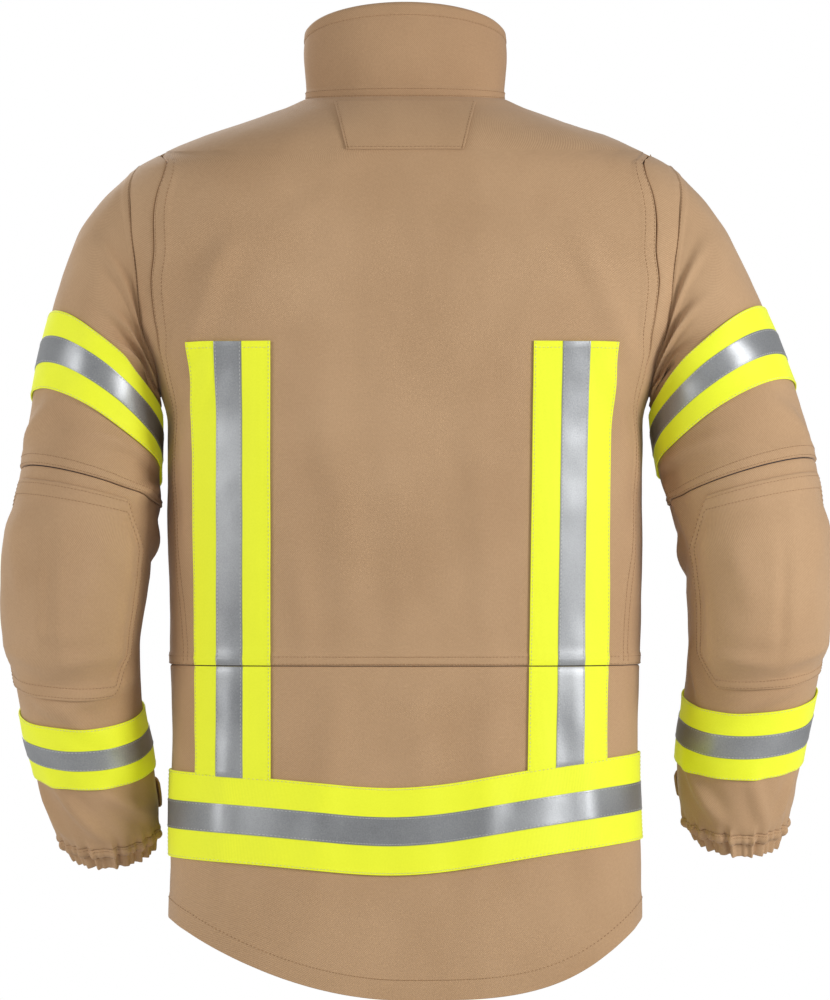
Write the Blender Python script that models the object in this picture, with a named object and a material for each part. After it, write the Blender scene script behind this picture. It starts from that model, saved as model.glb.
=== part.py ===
"""Turnout coat: a firefighter's structural jacket, in the shape it takes when it is worn.

Metres, +Z up. The origin is the centre of the neck opening, at the height of the back collar seam.
The front of the coat faces -Y and the wearer's left is +X. Every sewn piece is a thin closed sheet
laid on one of four smooth surfaces: the torso, the two sleeves and the collar. A sheet keeps the
distance from its surface that its layer has, so stacked pieces never meet.
"""
import math
from functools import lru_cache

import bmesh
import bpy
from mathutils import Matrix, Vector

# Cloth layers: how far each face lies outside (+) or inside (-) the shell's outer face
SHELL = (-0.0020, 0.0)
TAPE = (0.0012, 0.0022)
PAD = (0.0034, 0.0070)
LINER = (-0.0090, -0.0065)
SLEEVE_LINER = (-0.0085, -0.0065)
WRISTLET = (-0.0060, -0.0035)
COLLAR_LINING = (-0.0048, -0.0026)
SEAM_GAP = 0.0006
LAYER_GAP = 0.0008

# Body
HALF_CHEST = 0.262
BACK_DEPTH = 0.127
NECK_HALF_WIDTH = 0.086
NECK_BACK = 0.074
NECK_FRONT = 0.080
WAIST_SEAM = -0.490
HEM = -0.710
TAIL_DROP = 0.067
TAIL_CURVES = (1.9, 3.4)
FRONT_ARC_RADIUS = 2.600
FRONT_ARC_Y = 2.441
FRONT_ARC_Z = -0.700
FRONT_EDGE = 0.008
SHOULDER_POINT = -0.0475
LINER_EDGE = 0.012
LINER_BELOW_NECK = 0.002
LINER_ABOVE_HEM = 0.040
TORSO_RINGS = (
    # height, share of the way from neck to chest width, the same for depth, squareness
    (0.010, -0.150, -0.400, 2.00),
    (0.002, 0.000, 0.000, 2.00),
    (-0.006, 0.102, 0.208, 2.00),
    (-0.017, 0.278, 0.415, 2.10),
    (-0.029, 0.483, 0.585, 2.20),
    (-0.042, 0.659, 0.698, 2.30),
    (-0.058, 0.830, 0.774, 2.40),
    (-0.085, 0.955, 0.849, 2.55),
    (-0.130, 1.000, 0.943, 2.80),
    (-0.190, 0.943, 1.000, 2.80),
    (-0.230, 0.785, 1.000, 2.80),
    (-0.270, 0.693, 0.990, 2.75),
    (-0.300, 0.685, 0.962, 2.70),
    (-0.380, 0.685, 0.849, 2.60),
    (-0.480, 0.673, 0.698, 2.50),
    (-0.560, 0.662, 0.717, 2.50),
    (-0.640, 0.673, 0.830, 2.50),
    (-0.710, 0.679, 0.906, 2.50),
    (-0.790, 0.690, 0.950, 2.50),
)
BACK_SEAM = (
    # height, share of the half width at which the action-back seam runs
    (-0.0475, 1.000),
    (-0.052, 0.928),
    (-0.058, 0.891),
    (-0.071, 0.857),
    (-0.098, 0.839),
    (-0.130, 0.826),
    (-0.155, 0.841),
    (-0.197, 0.864),
    (-0.227, 0.928),
    (-0.300, 0.975),
    (-0.430, 0.948),
    (-0.490, 0.940),
)

# Armholes and sleeves
BACK_FACET = 0.0164
SKIRT_FACET = 0.0146
FRONT_FACET = 0.0262
SHOULDER_FACET = 0.036
ARMHOLE_HEIGHT = -0.155
ARMHOLE_HALF_HEIGHT = 0.100
ARMHOLE_HALF_DEPTH = 0.080
ARMHOLE_GAP = 0.0014
SWING_STATION = 3.0
LINER_DROP = 0.5
ELBOW_SEAM = 5.0
CUFF_SEAM = 10.2
SLEEVE_END = 11.0
SLEEVE_STATIONS = {
    # outer edge: distance outside the armhole's top and height;
    # inner edge: clearance to the torso's side and height
    "left": ((0.0015, -0.055, 0.0010, -0.255), (0.0325, -0.083, 0.0030, -0.262),
             (0.0595, -0.123, 0.0045, -0.267), (0.0795, -0.188, 0.0055, -0.273),
             (0.0965, -0.262, 0.0065, -0.331), (0.1065, -0.320, 0.0070, -0.353),
             (0.1170, -0.400, 0.0150, -0.410), (0.1160, -0.465, 0.0263, -0.470),
             (0.1075, -0.530, 0.0258, -0.528), (0.0950, -0.583, 0.0174, -0.578),
             (0.0785, -0.632, 0.0110, -0.625), (0.0605, -0.655, 0.0173, -0.650)),
    "right": ((0.0015, -0.055, 0.0010, -0.255), (0.0295, -0.083, 0.0030, -0.262),
              (0.0565, -0.123, 0.0045, -0.267), (0.0835, -0.184, 0.0065, -0.273),
              (0.1115, -0.254, 0.0145, -0.324), (0.1295, -0.313, 0.0235, -0.351),
              (0.1370, -0.400, 0.0370, -0.410), (0.1345, -0.465, 0.0413, -0.470),
              (0.1300, -0.513, 0.0400, -0.517), (0.1175, -0.572, 0.0354, -0.572),
              (0.1085, -0.618, 0.0365, -0.615), (0.0955, -0.645, 0.0517, -0.640)),
}
SLEEVE_DEPTHS = (
    # forward or backward shift, half depth, forward tilt in degrees
    (0.000, 0.080, 0), (0.000, 0.082, -5), (0.001, 0.084, -12), (0.003, 0.084, -18),
    (0.006, 0.081, -18), (0.010, 0.079, -8), (0.010, 0.078, 3), (0.003, 0.076, 9),
    (-0.010, 0.072, 13), (-0.022, 0.068, 15), (-0.030, 0.062, 15), (-0.036, 0.052, 15),
)
SLEEVE_COLUMNS = 20
SLEEVE_FADE = 2.5

# Collar
COLLAR_HEIGHT = 0.083
COLLAR_SLOPE = 0.333
COLLAR_TOP_HALF_WIDTH = 0.087
COLLAR_TOP_BACK = 0.076
COLLAR_TOP_FRONT = 0.078
COLLAR_BULGE = 0.0025
COLLAR_SLIT = 0.009
COLLAR_LIFT = 0.0015

# High-visibility tape
TAPE_WIDTH = 0.075
TAPE_FACET = 0.015
TAPE_ROW_FACET = 0.0188
BACK_STRIPE_INNER = {"left": (0.1155, 0.1155), "right": (0.1105, 0.1050)}
BACK_STRIPE_TOP = -0.210
FRONT_STRIPE_INNER = 0.118
FRONT_STRIPE_TOP = -0.205
FRONT_STRIPE_BOTTOM = -0.352
HEM_BAND_HEIGHT = -0.6110
HEM_BAND_SAG = 0.021
HEM_BAND_TILT = 0.0075
HEM_BAND_END = 0.040
UPPER_BAND = (3.04, 3.95)
LOWER_BAND = (8.0, 9.0)

# Front closure
ZIP_TOP = -0.0665
ZIP_BOTTOM = -0.700
ZIP_ROWS = 11
ZIP_TAPE_HALF_WIDTH = 0.020
ZIP_TAPE = (-0.0040, -0.0032)
TEETH_TOP = -0.0006
TEETH_HALF_WIDTH = 0.0035
ZIP_CENTRE_GAP = 0.0003
SLIDER_LENGTH = 0.014
SLIDER_TOP = -0.071
SLIDER_HALF_WIDTH = 0.0062
SLIDER_PLATE = (0.0002, 0.0014)
SLIDER_FLANGE = 0.0020
SLIDER_FLANGE_BOTTOM = -0.0020
PULLER_HALF_WIDTH = 0.0030
PULLER_LENGTH = 0.024
PULLER = (0.0020, 0.0032)
STORM_FLAP_HALF_WIDTH = 0.036
STORM_FLAP_ROOT = 0.006
STORM_FLAP = (0.0038, 0.0058)
STORM_FLAP_TOP = -0.070
FLAP_STRIP = (-0.034, -0.016)
LOOP_STRIP = (0.0006, 0.0018)
HOOK_STRIP = (0.0022, 0.0034)

# Pockets: first edge from the centre line, width along the cloth, top, bottom, depth
SIDE_POCKET = (0.050, 0.125, -0.395, -0.560, 0.024)
RADIO_POCKET = (0.046, 0.058, -0.170, -0.325, 0.032)
SIDE_FLAP = (0.023, 0.045)
RADIO_FLAP = (0.018, 0.036)
POCKET_WALL = 0.0016
POCKET_GAP = 0.0015
FLAP_CLOTH = 0.0020
FLAP_MARGIN = 0.003

# Small pieces
NECK_PATCH = (-0.003, 0.061, -0.0457, 0.0504)
PATCH_FACET = 0.0905
PATCH_ROW_FACET = 0.045
NAME_FIELD = (0.065, 0.025, 0.0025)
NAME_FIELD_AT = (-0.078, -0.215)
NAME_FIELD_CLEARANCE = 0.0012
RING_TAB = (0.022, 0.026, 0.0066)
RING_TAB_AT = (-0.078, -0.120)
RING_WIRE = 0.0015
RING_CLEARANCE = 0.0006
RING_HALF_WIDTH = 0.0150
RING_DROP = 0.0200
LOOP_HALF_WIDTH = 0.030
LOOP_DROP = 0.018
LOOP_WIRE = 0.0018
LOOP_AT = (0.0620, -0.002)
COLLAR_TAB_ANGLES = (-118.0, -62.0)
COLLAR_TAB_RISE = (0.25, 0.62)
CUFF_TAB_ANGLES = (200.0, 272.0)
CUFF_TAB_STATIONS = (9.40, 9.95)
ELBOW_PAD_ANGLES = (-10.0, 150.0)
ELBOW_PAD_STATIONS = (5.15, 7.60)
ELBOW_PAD_CHAMFER = 0.22

MATERIALS = {
    # colour, roughness, metallic
    "shell_fabric": ((0.434, 0.275, 0.159), 0.85, 0.0),
    "lining_fabric": ((0.040, 0.045, 0.060), 0.90, 0.0),
    "yellow_tape": ((0.750, 0.900, 0.020), 0.65, 0.0),
    "rib_knit": ((0.300, 0.190, 0.110), 0.95, 0.0),
    "hook_and_loop": ((0.300, 0.190, 0.110), 0.95, 0.0),
    "zip_tape": ((0.030, 0.028, 0.026), 0.80, 0.0),
    "zinc_alloy": ((0.420, 0.420, 0.420), 0.35, 1.0),
    "webbing": ((0.380, 0.240, 0.140), 0.90, 0.0),
}


# ---- curves and surfaces -------------------------------------------------------------------

def smooth_keys(keys, at):
    """Values at a position on a smooth curve through the keys, whose rows start with a position."""
    rows = sorted(keys)
    at = min(max(at, rows[0][0]), rows[-1][0])
    last = 1
    while rows[last][0] < at:
        last += 1
    span = rows[last][0] - rows[last - 1][0]
    share = (at - rows[last - 1][0]) / span

    def slope(index, column):
        before = rows[max(index - 1, 0)]
        after = rows[min(index + 1, len(rows) - 1)]
        return (after[column] - before[column]) / (after[0] - before[0])

    values = []
    for column in range(1, len(rows[0])):
        start = rows[last - 1][column]
        end = rows[last][column]
        leaving = slope(last - 1, column) * span
        arriving = slope(last, column) * span
        rise = 3 * share ** 2 - 2 * share ** 3
        values.append(start + rise * (end - start)
                      + (share ** 3 - 2 * share ** 2 + share) * leaving
                      + (share ** 3 - share ** 2) * arriving)
    return values


def torso_sizes(height):
    """Half width, depth behind, depth in front and squareness of the torso at a height."""
    width_share, depth_share, power = smooth_keys(TORSO_RINGS, height)
    half_width = NECK_HALF_WIDTH + width_share * (HALF_CHEST - NECK_HALF_WIDTH)
    back = NECK_BACK + depth_share * (BACK_DEPTH - NECK_BACK)
    front = math.sqrt(FRONT_ARC_RADIUS ** 2 - (height - FRONT_ARC_Z) ** 2) - FRONT_ARC_Y
    return half_width, back, front, power


def torso_skin(turn, height):
    """Point on the torso at an angle round the Z axis: 0 is the wearer's left, 90 degrees the back."""
    half_width, back, front, power = torso_sizes(height)
    depth = back if math.sin(turn) > 0 else front
    share = abs(math.cos(turn) / half_width) ** power + abs(math.sin(turn) / depth) ** power
    radius = share ** (-1 / power)
    return Vector((radius * math.cos(turn), radius * math.sin(turn), height))


def torso(turn, height, lift):
    """Point at a distance outside the torso's skin."""
    step = 0.002
    around = torso_skin(turn + step, height) - torso_skin(turn - step, height)
    up = torso_skin(turn, height + step) - torso_skin(turn, height - step)
    return torso_skin(turn, height) + around.cross(up).normalized() * lift


def turn_at(x, height, front=False):
    """Angle of the skin's point that lies at x on the torso's back or front."""
    half_width, back, front_depth, power = torso_sizes(height)
    share = min(abs(x) / half_width, 1.0)
    depth = (1 - share ** power) ** (1 / power)
    y = -front_depth * depth if front else back * depth
    return math.atan2(y, x)


def walk(turn, height, distance):
    """Angle reached by walking a distance along the skin at one height."""
    steps = 12
    small = 0.0005
    for _ in range(steps):
        across = torso_skin(turn + small, height) - torso_skin(turn - small, height)
        turn += distance / steps * 2 * small / across.length
    return turn


def side_x(y, height):
    """Half width of the torso at a place along Y."""
    half_width, back, front, power = torso_sizes(height)
    depth = back if y > 0 else front
    share = min(abs(y) / depth, 1.0)
    return half_width * (1 - share ** power) ** (1 / power)


def seam_turn(height):
    """Angle of the action-back seam, which starts at the shoulder point and runs to the waist."""
    if height >= SHOULDER_POINT:
        return 0.0
    half_width, back, front, power = torso_sizes(height)
    share = min(smooth_keys(BACK_SEAM, height)[0], 0.999)
    return math.atan2(back * (1 - share ** power) ** (1 / power), share * half_width)


def neck_radius(turn):
    """Radius of the neck opening, an ellipse with its own depth behind and in front."""
    depth = NECK_BACK if math.sin(turn) > 0 else NECK_FRONT
    return 1 / math.hypot(math.cos(turn) / NECK_HALF_WIDTH, math.sin(turn) / depth)


@lru_cache(maxsize=None)
def neckline(turn):
    """Height at which the torso's skin meets the neck opening."""
    low = -0.300
    high = 0.009
    for _ in range(30):
        middle = (low + high) / 2
        point = torso_skin(turn, middle)
        if math.hypot(point.x, point.y) > neck_radius(turn):
            low = middle
        else:
            high = middle
    return (low + high) / 2


def rail(x, height, lift):
    """Point on the front closure, which is flat across and follows the front arc along."""
    rise = math.asin((height - FRONT_ARC_Z) / FRONT_ARC_RADIUS)
    radius = FRONT_ARC_RADIUS + lift
    return Vector((x, FRONT_ARC_Y - radius * math.cos(rise), FRONT_ARC_Z + radius * math.sin(rise)))


def collar_skin(turn, rise):
    """Point on the collar, from the neckline (0) to its top edge (1), which tilts forward."""
    base_radius = neck_radius(turn)
    base = Vector((base_radius * math.cos(turn), base_radius * math.sin(turn),
                   neckline(turn) + COLLAR_LIFT))
    depth = COLLAR_TOP_BACK if math.sin(turn) > 0 else COLLAR_TOP_FRONT
    radius = 1 / math.hypot(math.cos(turn) / COLLAR_TOP_HALF_WIDTH, math.sin(turn) / depth)
    radius += COLLAR_BULGE * math.sin(math.pi * rise)
    top = Vector((radius * math.cos(turn), radius * math.sin(turn), 0))
    top.z = COLLAR_HEIGHT - COLLAR_SLOPE * (COLLAR_TOP_BACK - top.y)
    return base.lerp(top, rise)


def collar(turn, rise, lift):
    """Point at a distance outside the collar's skin."""
    step = 0.004
    around = collar_skin(turn + step, rise) - collar_skin(turn - step, rise)
    up = collar_skin(turn, rise + step) - collar_skin(turn, rise - step)
    return collar_skin(turn, rise) + around.cross(up).normalized() * lift


def armhole_point(turn):
    """Point on the armhole's edge, just inside it, on the torso's skin."""
    y = (ARMHOLE_HALF_DEPTH - ARMHOLE_GAP) * math.sin(turn)
    z = ARMHOLE_HEIGHT + (ARMHOLE_HALF_HEIGHT - ARMHOLE_GAP) * math.cos(turn)
    return Vector((side_x(y, z), y, z))


def sleeve_ring(side, turn, station):
    """Point on the sleeve's plain tube: 0 is its outer edge and 90 degrees its back."""
    rows = [(index,) + edges + SLEEVE_DEPTHS[index]
            for index, edges in enumerate(SLEEVE_STATIONS[side])]
    beyond, outer_z, gap, inner_z, shift, depth, tilt = smooth_keys(rows, station)
    outer_x = torso_sizes(ARMHOLE_HEIGHT + ARMHOLE_HALF_HEIGHT)[0] + beyond
    inner_x = torso_sizes(inner_z)[0] + gap
    tilt = math.radians(tilt)
    middle = Vector(((outer_x + inner_x) / 2, shift, (outer_z + inner_z) / 2))
    half = Vector(((outer_x - inner_x) / 2, 0, (outer_z - inner_z) / 2))
    deep = Vector((0, depth * math.cos(tilt), -depth * math.sin(tilt)))
    return middle + half * math.cos(turn) + deep * math.sin(turn)


def sleeve_skin(side, turn, station):
    """Point on a left-hand sleeve, whose first ring is bent to lie in the armhole."""
    point = sleeve_ring(side, turn, station)
    if station < SLEEVE_FADE:
        share = (1 - max(station, 0) / SLEEVE_FADE) ** 2
        point += (armhole_point(turn) - sleeve_ring(side, turn, 0)) * share
    return point


def sleeve(side):
    """The surface of one sleeve, as a function of angle, station and lift."""
    def place(turn, station, lift):
        step = 0.02
        around = sleeve_skin(side, turn + step, station) - sleeve_skin(side, turn - step, station)
        down = (sleeve_skin(side, turn, min(station + step, SLEEVE_END))
                - sleeve_skin(side, turn, max(station - step, 0)))
        point = sleeve_skin(side, turn, station) + down.cross(around).normalized() * lift
        if side == "right":
            point.x = -point.x
        return point
    return place


# ---- building blocks -----------------------------------------------------------------------

def material(name):
    """The named material, made the first time it is asked for."""
    if name in bpy.data.materials:
        return bpy.data.materials[name]
    made = bpy.data.materials.new(name)
    made.use_nodes = True
    colour, roughness, metallic = MATERIALS[name]
    shader = made.node_tree.nodes["Principled BSDF"]
    shader.inputs["Base Color"].default_value = (*colour, 1.0)
    shader.inputs["Roughness"].default_value = roughness
    shader.inputs["Metallic"].default_value = metallic
    return made


def add_object(name, mesh, material_name):
    """Turn a bmesh into a named object of one material."""
    bmesh.ops.recalc_face_normals(mesh, faces=mesh.faces[:])
    data = bpy.data.meshes.new(name)
    mesh.to_mesh(data)
    mesh.free()
    made = bpy.data.objects.new(name, data)
    bpy.context.scene.collection.objects.link(made)
    if material_name:
        data.materials.append(material(material_name))
    data.shade_smooth()
    data.set_sharp_from_angle(angle=math.radians(40))
    return made


def sheet(name, surface, at, columns, rows, layer, material_name, closed=False):
    """A closed sheet of cloth between a layer's two lifts; at(u, v) gives its place on the surface.

    A closed sheet runs all the way round, so its first and last columns are one.
    """
    mesh = bmesh.new()
    across = len(columns) - 1
    along = len(rows) - 1
    bmesh.ops.create_grid(mesh, x_segments=across, y_segments=along, size=0.5)
    first = mesh.verts.layers.float.new("first")
    second = mesh.verts.layers.float.new("second")
    for vert in mesh.verts:
        u = columns[round((vert.co.x + 0.5) * across)]
        v = rows[round((vert.co.y + 0.5) * along)]
        vert[first], vert[second] = at(u, v)
        vert.co = surface(vert[first], vert[second], layer[0])
    if closed:
        bmesh.ops.remove_doubles(mesh, verts=mesh.verts[:], dist=1e-6)
    grown = bmesh.ops.extrude_face_region(mesh, geom=mesh.faces[:])
    for vert in grown["geom"]:
        if isinstance(vert, bmesh.types.BMVert):
            vert.co = surface(vert[first], vert[second], layer[1])
    return add_object(name, mesh, material_name)


def prism(name, outline, heights, material_name):
    """A bar along the front closure whose cross-section is an outline of (x, lift) corners."""
    mesh = bmesh.new()
    rings = []
    for height in heights:
        rings.append([mesh.verts.new(rail(x, height, lift)) for x, lift in outline])
    corners = len(outline)
    for upper, lower in zip(rings, rings[1:]):
        for corner in range(corners):
            after = (corner + 1) % corners
            mesh.faces.new((upper[corner], upper[after], lower[after], lower[corner]))
    mesh.faces.new(rings[0])
    mesh.faces.new(rings[-1])
    return add_object(name, mesh, material_name)


def cut(target, cutter):
    """Take a closed shape out of an object, and hide the shape."""
    cutter.hide_render = True
    cutter.display_type = "WIRE"
    boolean = target.modifiers.new("cut_" + cutter.name, "BOOLEAN")
    boolean.operation = "DIFFERENCE"
    boolean.solver = "EXACT"
    boolean.object = cutter


def even(first, last, cells):
    """Evenly spaced values, both ends included."""
    return [first + (last - first) * index / cells for index in range(cells + 1)]


def cells_for(size, facet):
    """Cells that keep the facets of a curved piece as short as drawn, whatever its size."""
    return math.ceil(size / facet - 0.001)


def mirrored(at):
    """The same place on the other side of the torso or collar."""
    def other(u, v):
        turn, height = at(u, v)
        return math.pi - turn, height
    return other


def both_sides(name, surface, at, columns, rows, layer, material_name):
    """A left and a right sheet, the right one mirrored."""
    left = sheet(name + "_left", surface, at, columns, rows, layer, material_name)
    right = sheet(name + "_right", surface, mirrored(at), columns, rows, layer, material_name)
    return left, right


# ---- torso shell ---------------------------------------------------------------------------

def torso_heights():
    """Rows of the upper body at the shoulder line, from the neck to the waist seam."""
    top = neckline(0.0)
    shoulder = even(top, SHOULDER_POINT, cells_for(HALF_CHEST - NECK_HALF_WIDTH, SHOULDER_FACET))
    tip = [SHOULDER_POINT - 0.0025, SHOULDER_POINT - 0.009, SHOULDER_POINT - 0.022]
    chest = even(SHOULDER_POINT - 0.040, -0.215, 3)
    waist = even(-0.235, -0.275, 2) + even(-0.310, WAIST_SEAM + SEAM_GAP / 2, 3)
    return shoulder + tip + chest + waist


def hung(height, top):
    """The row that a shoulder-line height becomes in a column whose top is higher or lower."""
    first = neckline(0.0)
    bottom = WAIST_SEAM + SEAM_GAP / 2
    return top + (height - first) * (bottom - top) / (bottom - first)


def gap_turn():
    """Half a seam's gap as an angle at the side of the body."""
    return SEAM_GAP / 2 / HALF_CHEST * 1.6


def back_panel_at(u, height):
    """The back panel lies between the two action-back seams."""
    row = hung(height, neckline(math.pi * u))
    edge = seam_turn(row) + gap_turn()
    return edge + u * (math.pi - 2 * edge), row


def side_panel_at(u, height):
    """A side panel fills the strip from the side line back to the action-back seam."""
    return gap_turn() + u * (seam_turn(height) - 2 * gap_turn()), height


def front_edge(height):
    """Angle of the left front edge at a height."""
    return turn_at(FRONT_EDGE, height, front=True)


def front_panel_at(u, height):
    """A front panel runs from the side line to the zip."""
    top = neckline(round(u * front_edge(neckline(-math.pi / 2)), 6))
    top = neckline(round(u * front_edge(top), 6))
    row = hung(height, top)
    return -gap_turn() + u * (front_edge(row) + gap_turn()), row


def hem_height(turn):
    """The hem is level in front and drops to a tail behind, more steeply on the right."""
    if math.sin(turn) <= 0:
        return HEM
    share = torso_skin(turn, HEM).x / torso_sizes(HEM)[0]
    power = TAIL_CURVES[0] if share > 0 else TAIL_CURVES[1]
    return HEM - TAIL_DROP * (1 - min(abs(share), 1.0) ** power)


def skirt_height(turn, share):
    """Height on a skirt: 0 at the waist seam and 1 at the hem."""
    top = WAIST_SEAM - SEAM_GAP / 2
    return top + share * (hem_height(turn) - top)


def back_skirt_at(u, share):
    """The back skirt runs from side line to side line."""
    turn = gap_turn() + u * (math.pi - 2 * gap_turn())
    return turn, skirt_height(turn, share)


def front_skirt_at(u, share):
    """A front skirt runs from the side line to the zip."""
    row = skirt_height(0.0, share)
    return -gap_turn() + u * (front_edge(row) + gap_turn()), row


def armhole_cutter(side, grow=0.0):
    """An elliptic bar through one armhole."""
    mesh = bmesh.new()
    reach = 2 * HALF_CHEST
    across = reach / 2 + HALF_CHEST / 3
    shape = (Matrix.Translation(((across if side == "left" else -across), 0, ARMHOLE_HEIGHT))
             @ Matrix.Diagonal((reach / 2, ARMHOLE_HALF_DEPTH + grow, ARMHOLE_HALF_HEIGHT + grow, 1))
             @ Matrix.Rotation(math.pi / 2, 4, "Y"))
    bmesh.ops.create_cone(mesh, cap_ends=True, segments=2 * SLEEVE_COLUMNS, radius1=1, radius2=1,
                          depth=2, matrix=shape)
    return add_object("armhole_cutter_" + side, mesh, None)


def build_torso(cutters):
    """The shell's eight pieces and the lining."""
    heights = torso_heights()
    across = cells_for(HALF_CHEST, BACK_FACET)
    sheet("back_panel", torso, back_panel_at, even(0, 1, across), heights, SHELL, "shell_fabric")
    tip = [height for height in heights if height < SHOULDER_POINT - 0.002]
    sides = both_sides("side_panel", torso, side_panel_at, even(0, 1, 3), tip, SHELL, "shell_fabric")
    fronts = both_sides("front_panel", torso, front_panel_at, even(0, 1, 8), heights, SHELL,
                        "shell_fabric")
    for pair in (sides, fronts):
        for panel, cutter in zip(pair, cutters):
            cut(panel, cutter)
    across = cells_for(HALF_CHEST, SKIRT_FACET)
    sheet("back_skirt", torso, back_skirt_at, even(0, 1, across), even(0, 1, 3), SHELL,
          "shell_fabric")
    across = cells_for(HALF_CHEST, FRONT_FACET)
    both_sides("front_skirt", torso, front_skirt_at, even(0, 1, across), even(0, 1, 3), SHELL,
               "shell_fabric")


def liner_at(u, height):
    """The lining runs once round, from the left front edge to the right one."""
    start = turn_at(LINER_EDGE, HEM, front=True)
    turn = start + u * (math.pi - 2 * start)
    if height < WAIST_SEAM:
        return turn, height
    return turn, hung(height, neckline(round(turn, 6)) - LINER_BELOW_NECK)


def build_liner(cutters):
    """The quilted lining, which hangs inside the shell."""
    heights = torso_heights()
    rows = heights[0:10:2] + heights[10:] + even(-0.560, HEM + LINER_ABOVE_HEM, 1)
    lining = sheet("body_liner", torso, liner_at, even(0, 1, 20), rows, LINER, "lining_fabric")
    for cutter in cutters:
        cut(lining, cutter)


# ---- sleeves -------------------------------------------------------------------------------

def plain(u, v):
    """Angles and stations used as they are."""
    return u, v


def elbow_pad_at(u, station):
    """An octagon: its sides draw in towards the two ends."""
    first, last = ELBOW_PAD_STATIONS
    from_end = min(station - first, last - station) / (last - first)
    draw_in = max(ELBOW_PAD_CHAMFER - from_end, 0.0) * 0.75
    low, high = (math.radians(angle) for angle in ELBOW_PAD_ANGLES)
    share = draw_in + u * (1 - 2 * draw_in)
    return low + share * (high - low), station


def build_sleeve(side):
    """One set-in sleeve with its lining, cuff, knit wristlet, pad and bands.

    Its head stays with the coat, and everything below the swing station moves with the arm.
    """
    surface = sleeve(side)
    around = even(0, 2 * math.pi, SLEEVE_COLUMNS)
    seam = 0.006
    head = [0.0, 0.5, 1.0, 2.0, SWING_STATION - seam]
    upper = [SWING_STATION + seam, UPPER_BAND[1], ELBOW_SEAM - seam]
    first, last = ELBOW_PAD_STATIONS
    corner = ELBOW_PAD_CHAMFER * (last - first)
    pad = [first] + even(first + corner, last - corner, 3) + [last]
    lower = [ELBOW_SEAM + seam] + pad[1:] + [*LOWER_BAND, 9.6, CUFF_SEAM - seam]

    def tube(name, stations, layer, material_name):
        return sheet(name + "_" + side, surface, plain, around, stations, layer, material_name, True)

    tube("sleeve_head", head, SHELL, "shell_fabric")
    tube("upper_sleeve", upper, SHELL, "shell_fabric")
    tube("lower_sleeve", lower, SHELL, "shell_fabric")
    lining = [SWING_STATION + LINER_DROP, ELBOW_SEAM] + pad[1:5] + [LOWER_BAND[0], 9.3]
    sheet("sleeve_liner_" + side, surface, plain, around[::2], lining, SLEEVE_LINER,
          "lining_fabric", True)
    tube("cuff", [CUFF_SEAM + seam, 10.6, SLEEVE_END], (SHELL[0], SHELL[1] + 0.001), "shell_fabric")
    sheet("wristlet_" + side, surface, plain, around[::2], [9.5, 10.1, 10.85], WRISTLET,
          "rib_knit", True)
    tube("upper_band", UPPER_BAND, TAPE, "yellow_tape")
    tube("lower_band", LOWER_BAND, TAPE, "yellow_tape")
    sheet("elbow_pad_" + side, surface, elbow_pad_at, even(0, 1, 12), pad, PAD, "shell_fabric")
    low, high = (math.radians(angle) for angle in CUFF_TAB_ANGLES)
    sheet("cuff_tab_" + side, surface, plain, even(low, high, 6), list(CUFF_TAB_STATIONS),
          (TAPE[0], TAPE[0] + FLAP_CLOTH), "shell_fabric")


# ---- collar --------------------------------------------------------------------------------

def collar_at(u, rise):
    """The collar runs round the neck from one side of its front slit to the other."""
    start = -math.pi / 2 + COLLAR_SLIT / NECK_FRONT
    return start + u * (math.pi - 2 * start), rise


def build_collar():
    """The stand-up collar in two layers, its throat tab and the patch below its back seam."""
    around = even(0, 1, 30)
    sheet("collar_shell", collar, collar_at, around, even(0, 1, 3), SHELL, "shell_fabric")
    sheet("collar_lining", collar, collar_at, around, even(0.01, 1, 3), COLLAR_LINING,
          "lining_fabric")
    low, high = (math.radians(angle) for angle in COLLAR_TAB_ANGLES)
    sheet("collar_tab", collar, plain, even(low, high, 7), even(*COLLAR_TAB_RISE, 1),
          (TAPE[0], TAPE[0] + FLAP_CLOTH), "shell_fabric")
    top, top_half, bottom, bottom_half = NECK_PATCH

    def patch_at(u, v):
        height = top + v * (bottom - top)
        half = top_half + v * (bottom_half - top_half)
        x = half * (1 - 2 * u)
        return turn_at(x, height), height

    across = even(0, 1, cells_for(top_half / NECK_HALF_WIDTH, PATCH_FACET))
    down = even(0, 1, cells_for(HALF_CHEST - NECK_HALF_WIDTH, PATCH_ROW_FACET))
    sheet("neck_patch", torso, patch_at, across, down, TAPE, "shell_fabric")


# ---- high-visibility tape ------------------------------------------------------------------

def hem_band_height(turn, share):
    """Height on the hem band: 0 at its top edge and 1 at its bottom edge."""
    share_across = torso_skin(turn, HEM_BAND_HEIGHT).x / torso_sizes(HEM_BAND_HEIGHT)[0]
    sag = HEM_BAND_SAG * max(math.sin(turn), 0.0) ** 2
    middle = HEM_BAND_HEIGHT - sag - HEM_BAND_TILT * share_across
    return middle + TAPE_WIDTH * (0.5 - share)


def back_stripe_turn(side, u, height):
    """Angle across a back stripe, from its inner edge outwards; the right stripe slants inwards."""
    top, bottom = BACK_STRIPE_INNER[side]
    down = (height - BACK_STRIPE_TOP) / (HEM_BAND_HEIGHT - BACK_STRIPE_TOP)
    return walk(turn_at(top + down * (bottom - top), height), height, -u * TAPE_WIDTH)


def upper_stripe(side):
    """The upper length of a back stripe ends at the waist seam."""
    def at(u, share):
        height = BACK_STRIPE_TOP + share * (WAIST_SEAM + SEAM_GAP - BACK_STRIPE_TOP)
        return back_stripe_turn(side, u, height), height
    return at if side == "left" else mirrored(at)


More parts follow.
